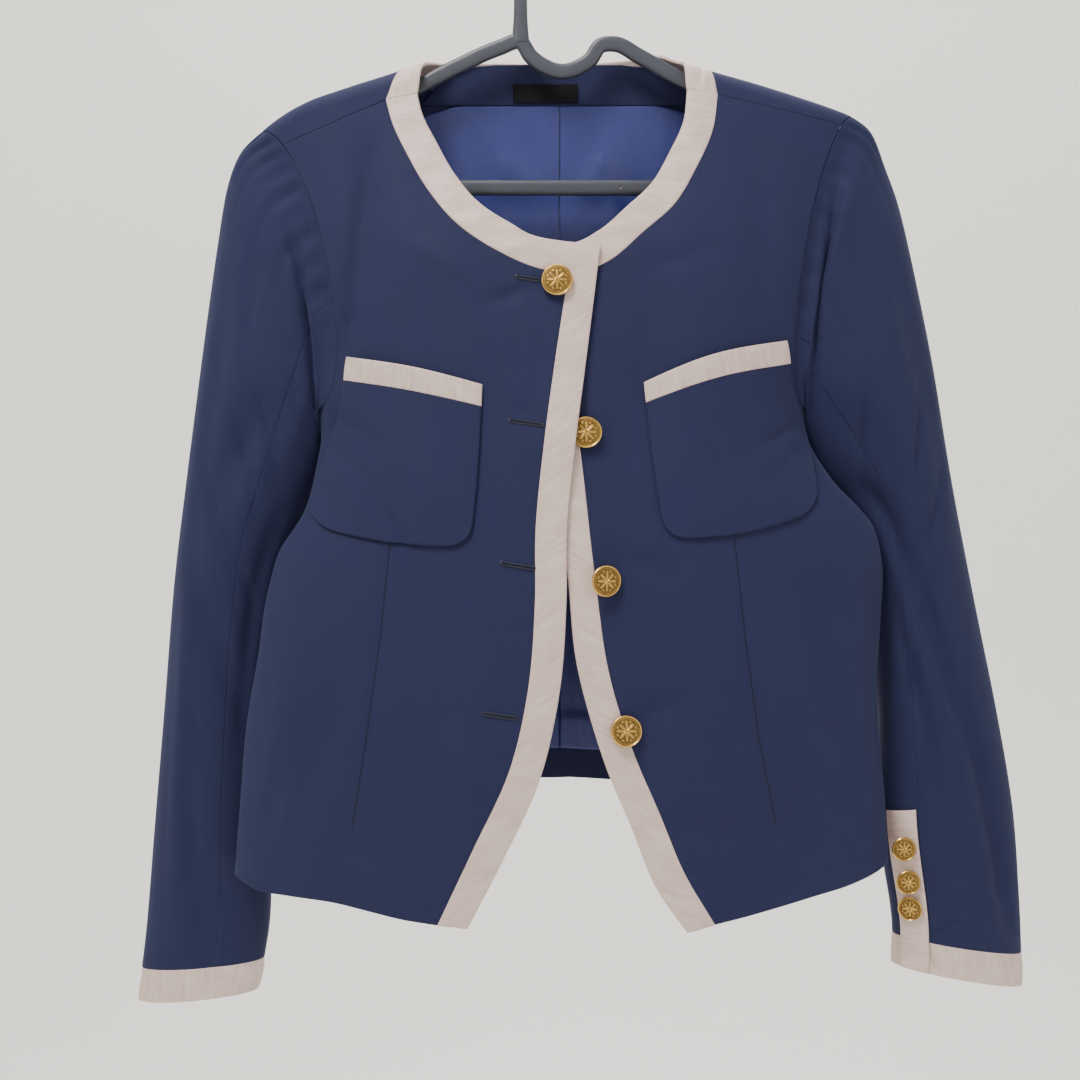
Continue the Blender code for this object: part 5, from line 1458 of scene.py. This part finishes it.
def make_stage():
    """Round pale stage: a floor that curves up into a wall well away from the blazer."""
    flat = STAGE_RADIUS - STAGE_CURVE
    profile = [(0.0, FLOOR)] + [(reach, FLOOR) for reach in np.linspace(0.4, flat, 8)]
    for turn in np.radians(np.linspace(8, 90, 12)):
        profile.append((flat + STAGE_CURVE * math.sin(turn),
                        FLOOR + STAGE_CURVE * (1 - math.cos(turn))))
    profile.append((STAGE_RADIUS, FLOOR + STAGE_HEIGHT))
    sides = 72
    vertices = [(reach * math.cos(turn), reach * math.sin(turn), height) for reach, height in profile
                for turn in np.arange(sides) * 2 * math.pi / sides]
    mesh = bpy.data.meshes.new("round_stage")
    mesh.from_pydata(vertices, [], ring_faces(len(profile), sides))
    mesh.materials.append(stage_look("pale_stage"))
    mesh.shade_smooth()
    made = bpy.data.objects.new("round_stage", mesh)
    bpy.context.scene.collection.objects.link(made)


def lamp(name, place, aim, size, power, colour):
    light = bpy.data.lights.new(name, "AREA")
    light.shape = "DISK"
    light.size = size
    light.energy = power
    light.color = colour
    made = bpy.data.objects.new(name, light)
    made.location = place
    made.rotation_euler = (Vector(aim) - Vector(place)).to_track_quat("-Z", "Y").to_euler()
    bpy.context.scene.collection.objects.link(made)


def make_camera():
    camera = bpy.data.cameras.new("camera")
    camera.lens = LENS
    camera.sensor_width = 36.0
    made = bpy.data.objects.new("camera", camera)
    made.location = CAMERA_PLACE
    made.rotation_euler = (math.pi / 2, 0.0, 0.0)
    bpy.context.scene.collection.objects.link(made)
    bpy.context.scene.camera = made


# The camera of the photograph, and soft light from above, a little to the left and in front
CAMERA_PLACE = (-0.0132, -1.0, -0.4109)
LENS = 50.5
FLOOR = -1.3
STAGE_RADIUS = 3.4
STAGE_HEIGHT = 4.2
STAGE_CURVE = 1.4

make_camera()
make_stage()
lamp("key", (-0.75, -1.15, 1.45), (0.0, 0.0, -0.35), 0.8, 52.0, (1.0, 0.985, 0.96))
lamp("fill", (1.3, -1.5, -0.1), (0.0, 0.0, -0.4), 1.6, 6.0, (0.93, 0.96, 1.0))
lamp("far_wall", (0.0, 0.9, 2.3), (0.0, 3.4, -0.3), 1.8, 110.0, (1.0, 0.99, 0.96))
lamp("near_wall", (0.0, -0.9, 2.3), (0.0, -3.4, -0.3), 1.8, 14.0, (1.0, 0.99, 0.96))
lamp("back_key", (0.7, 1.7, 1.1), (0.0, 0.0, -0.35), 1.2, 26.0, (1.0, 0.99, 0.97))
world = bpy.data.worlds.new("soft_room")
world.use_nodes = True
world.node_tree.nodes["Background"].inputs["Color"].default_value = (0.93, 0.95, 1.0, 1.0)
world.node_tree.nodes["Background"].inputs["Strength"].default_value = 0.24
bpy.context.scene.world = world

LOOKS = {"crepe": crepe_look("crepe_weave"), "satin": satin_look("satin_weave"),
         "lining": lining_look("lining_satin"), "gold": gold_look("antique_gold"),
         "plastic": plastic_look("moulded_slate"), "tape": tape_look("woven_tape"),
         "thread": thread_look("buttonhole_twist")}

make_hanger()

for side, label in ((RIGHT, "right"), (LEFT, "left")):
    make_front(label, side)
    make_front_band(label, side)
    make_back(label, side)
    make_pocket(label, side)
    make_sleeve(label, side)
    make_placket(label, side)
make_neck_band()
make_inside()
for index, (x, z, side, upright, level) in enumerate(FRONT_BUTTONS):
    seat, out = surface(x, z, FRONT, side)
    make_button(f"button_front_{index + 1}", FRONT_BUTTON, seat + out * (BAND_PROUD + 0.25), out,
                upright, level)
for index, (x, z) in enumerate(BUTTONHOLES):
    made = make_buttonhole(f"buttonhole_{index + 1}", x, z)
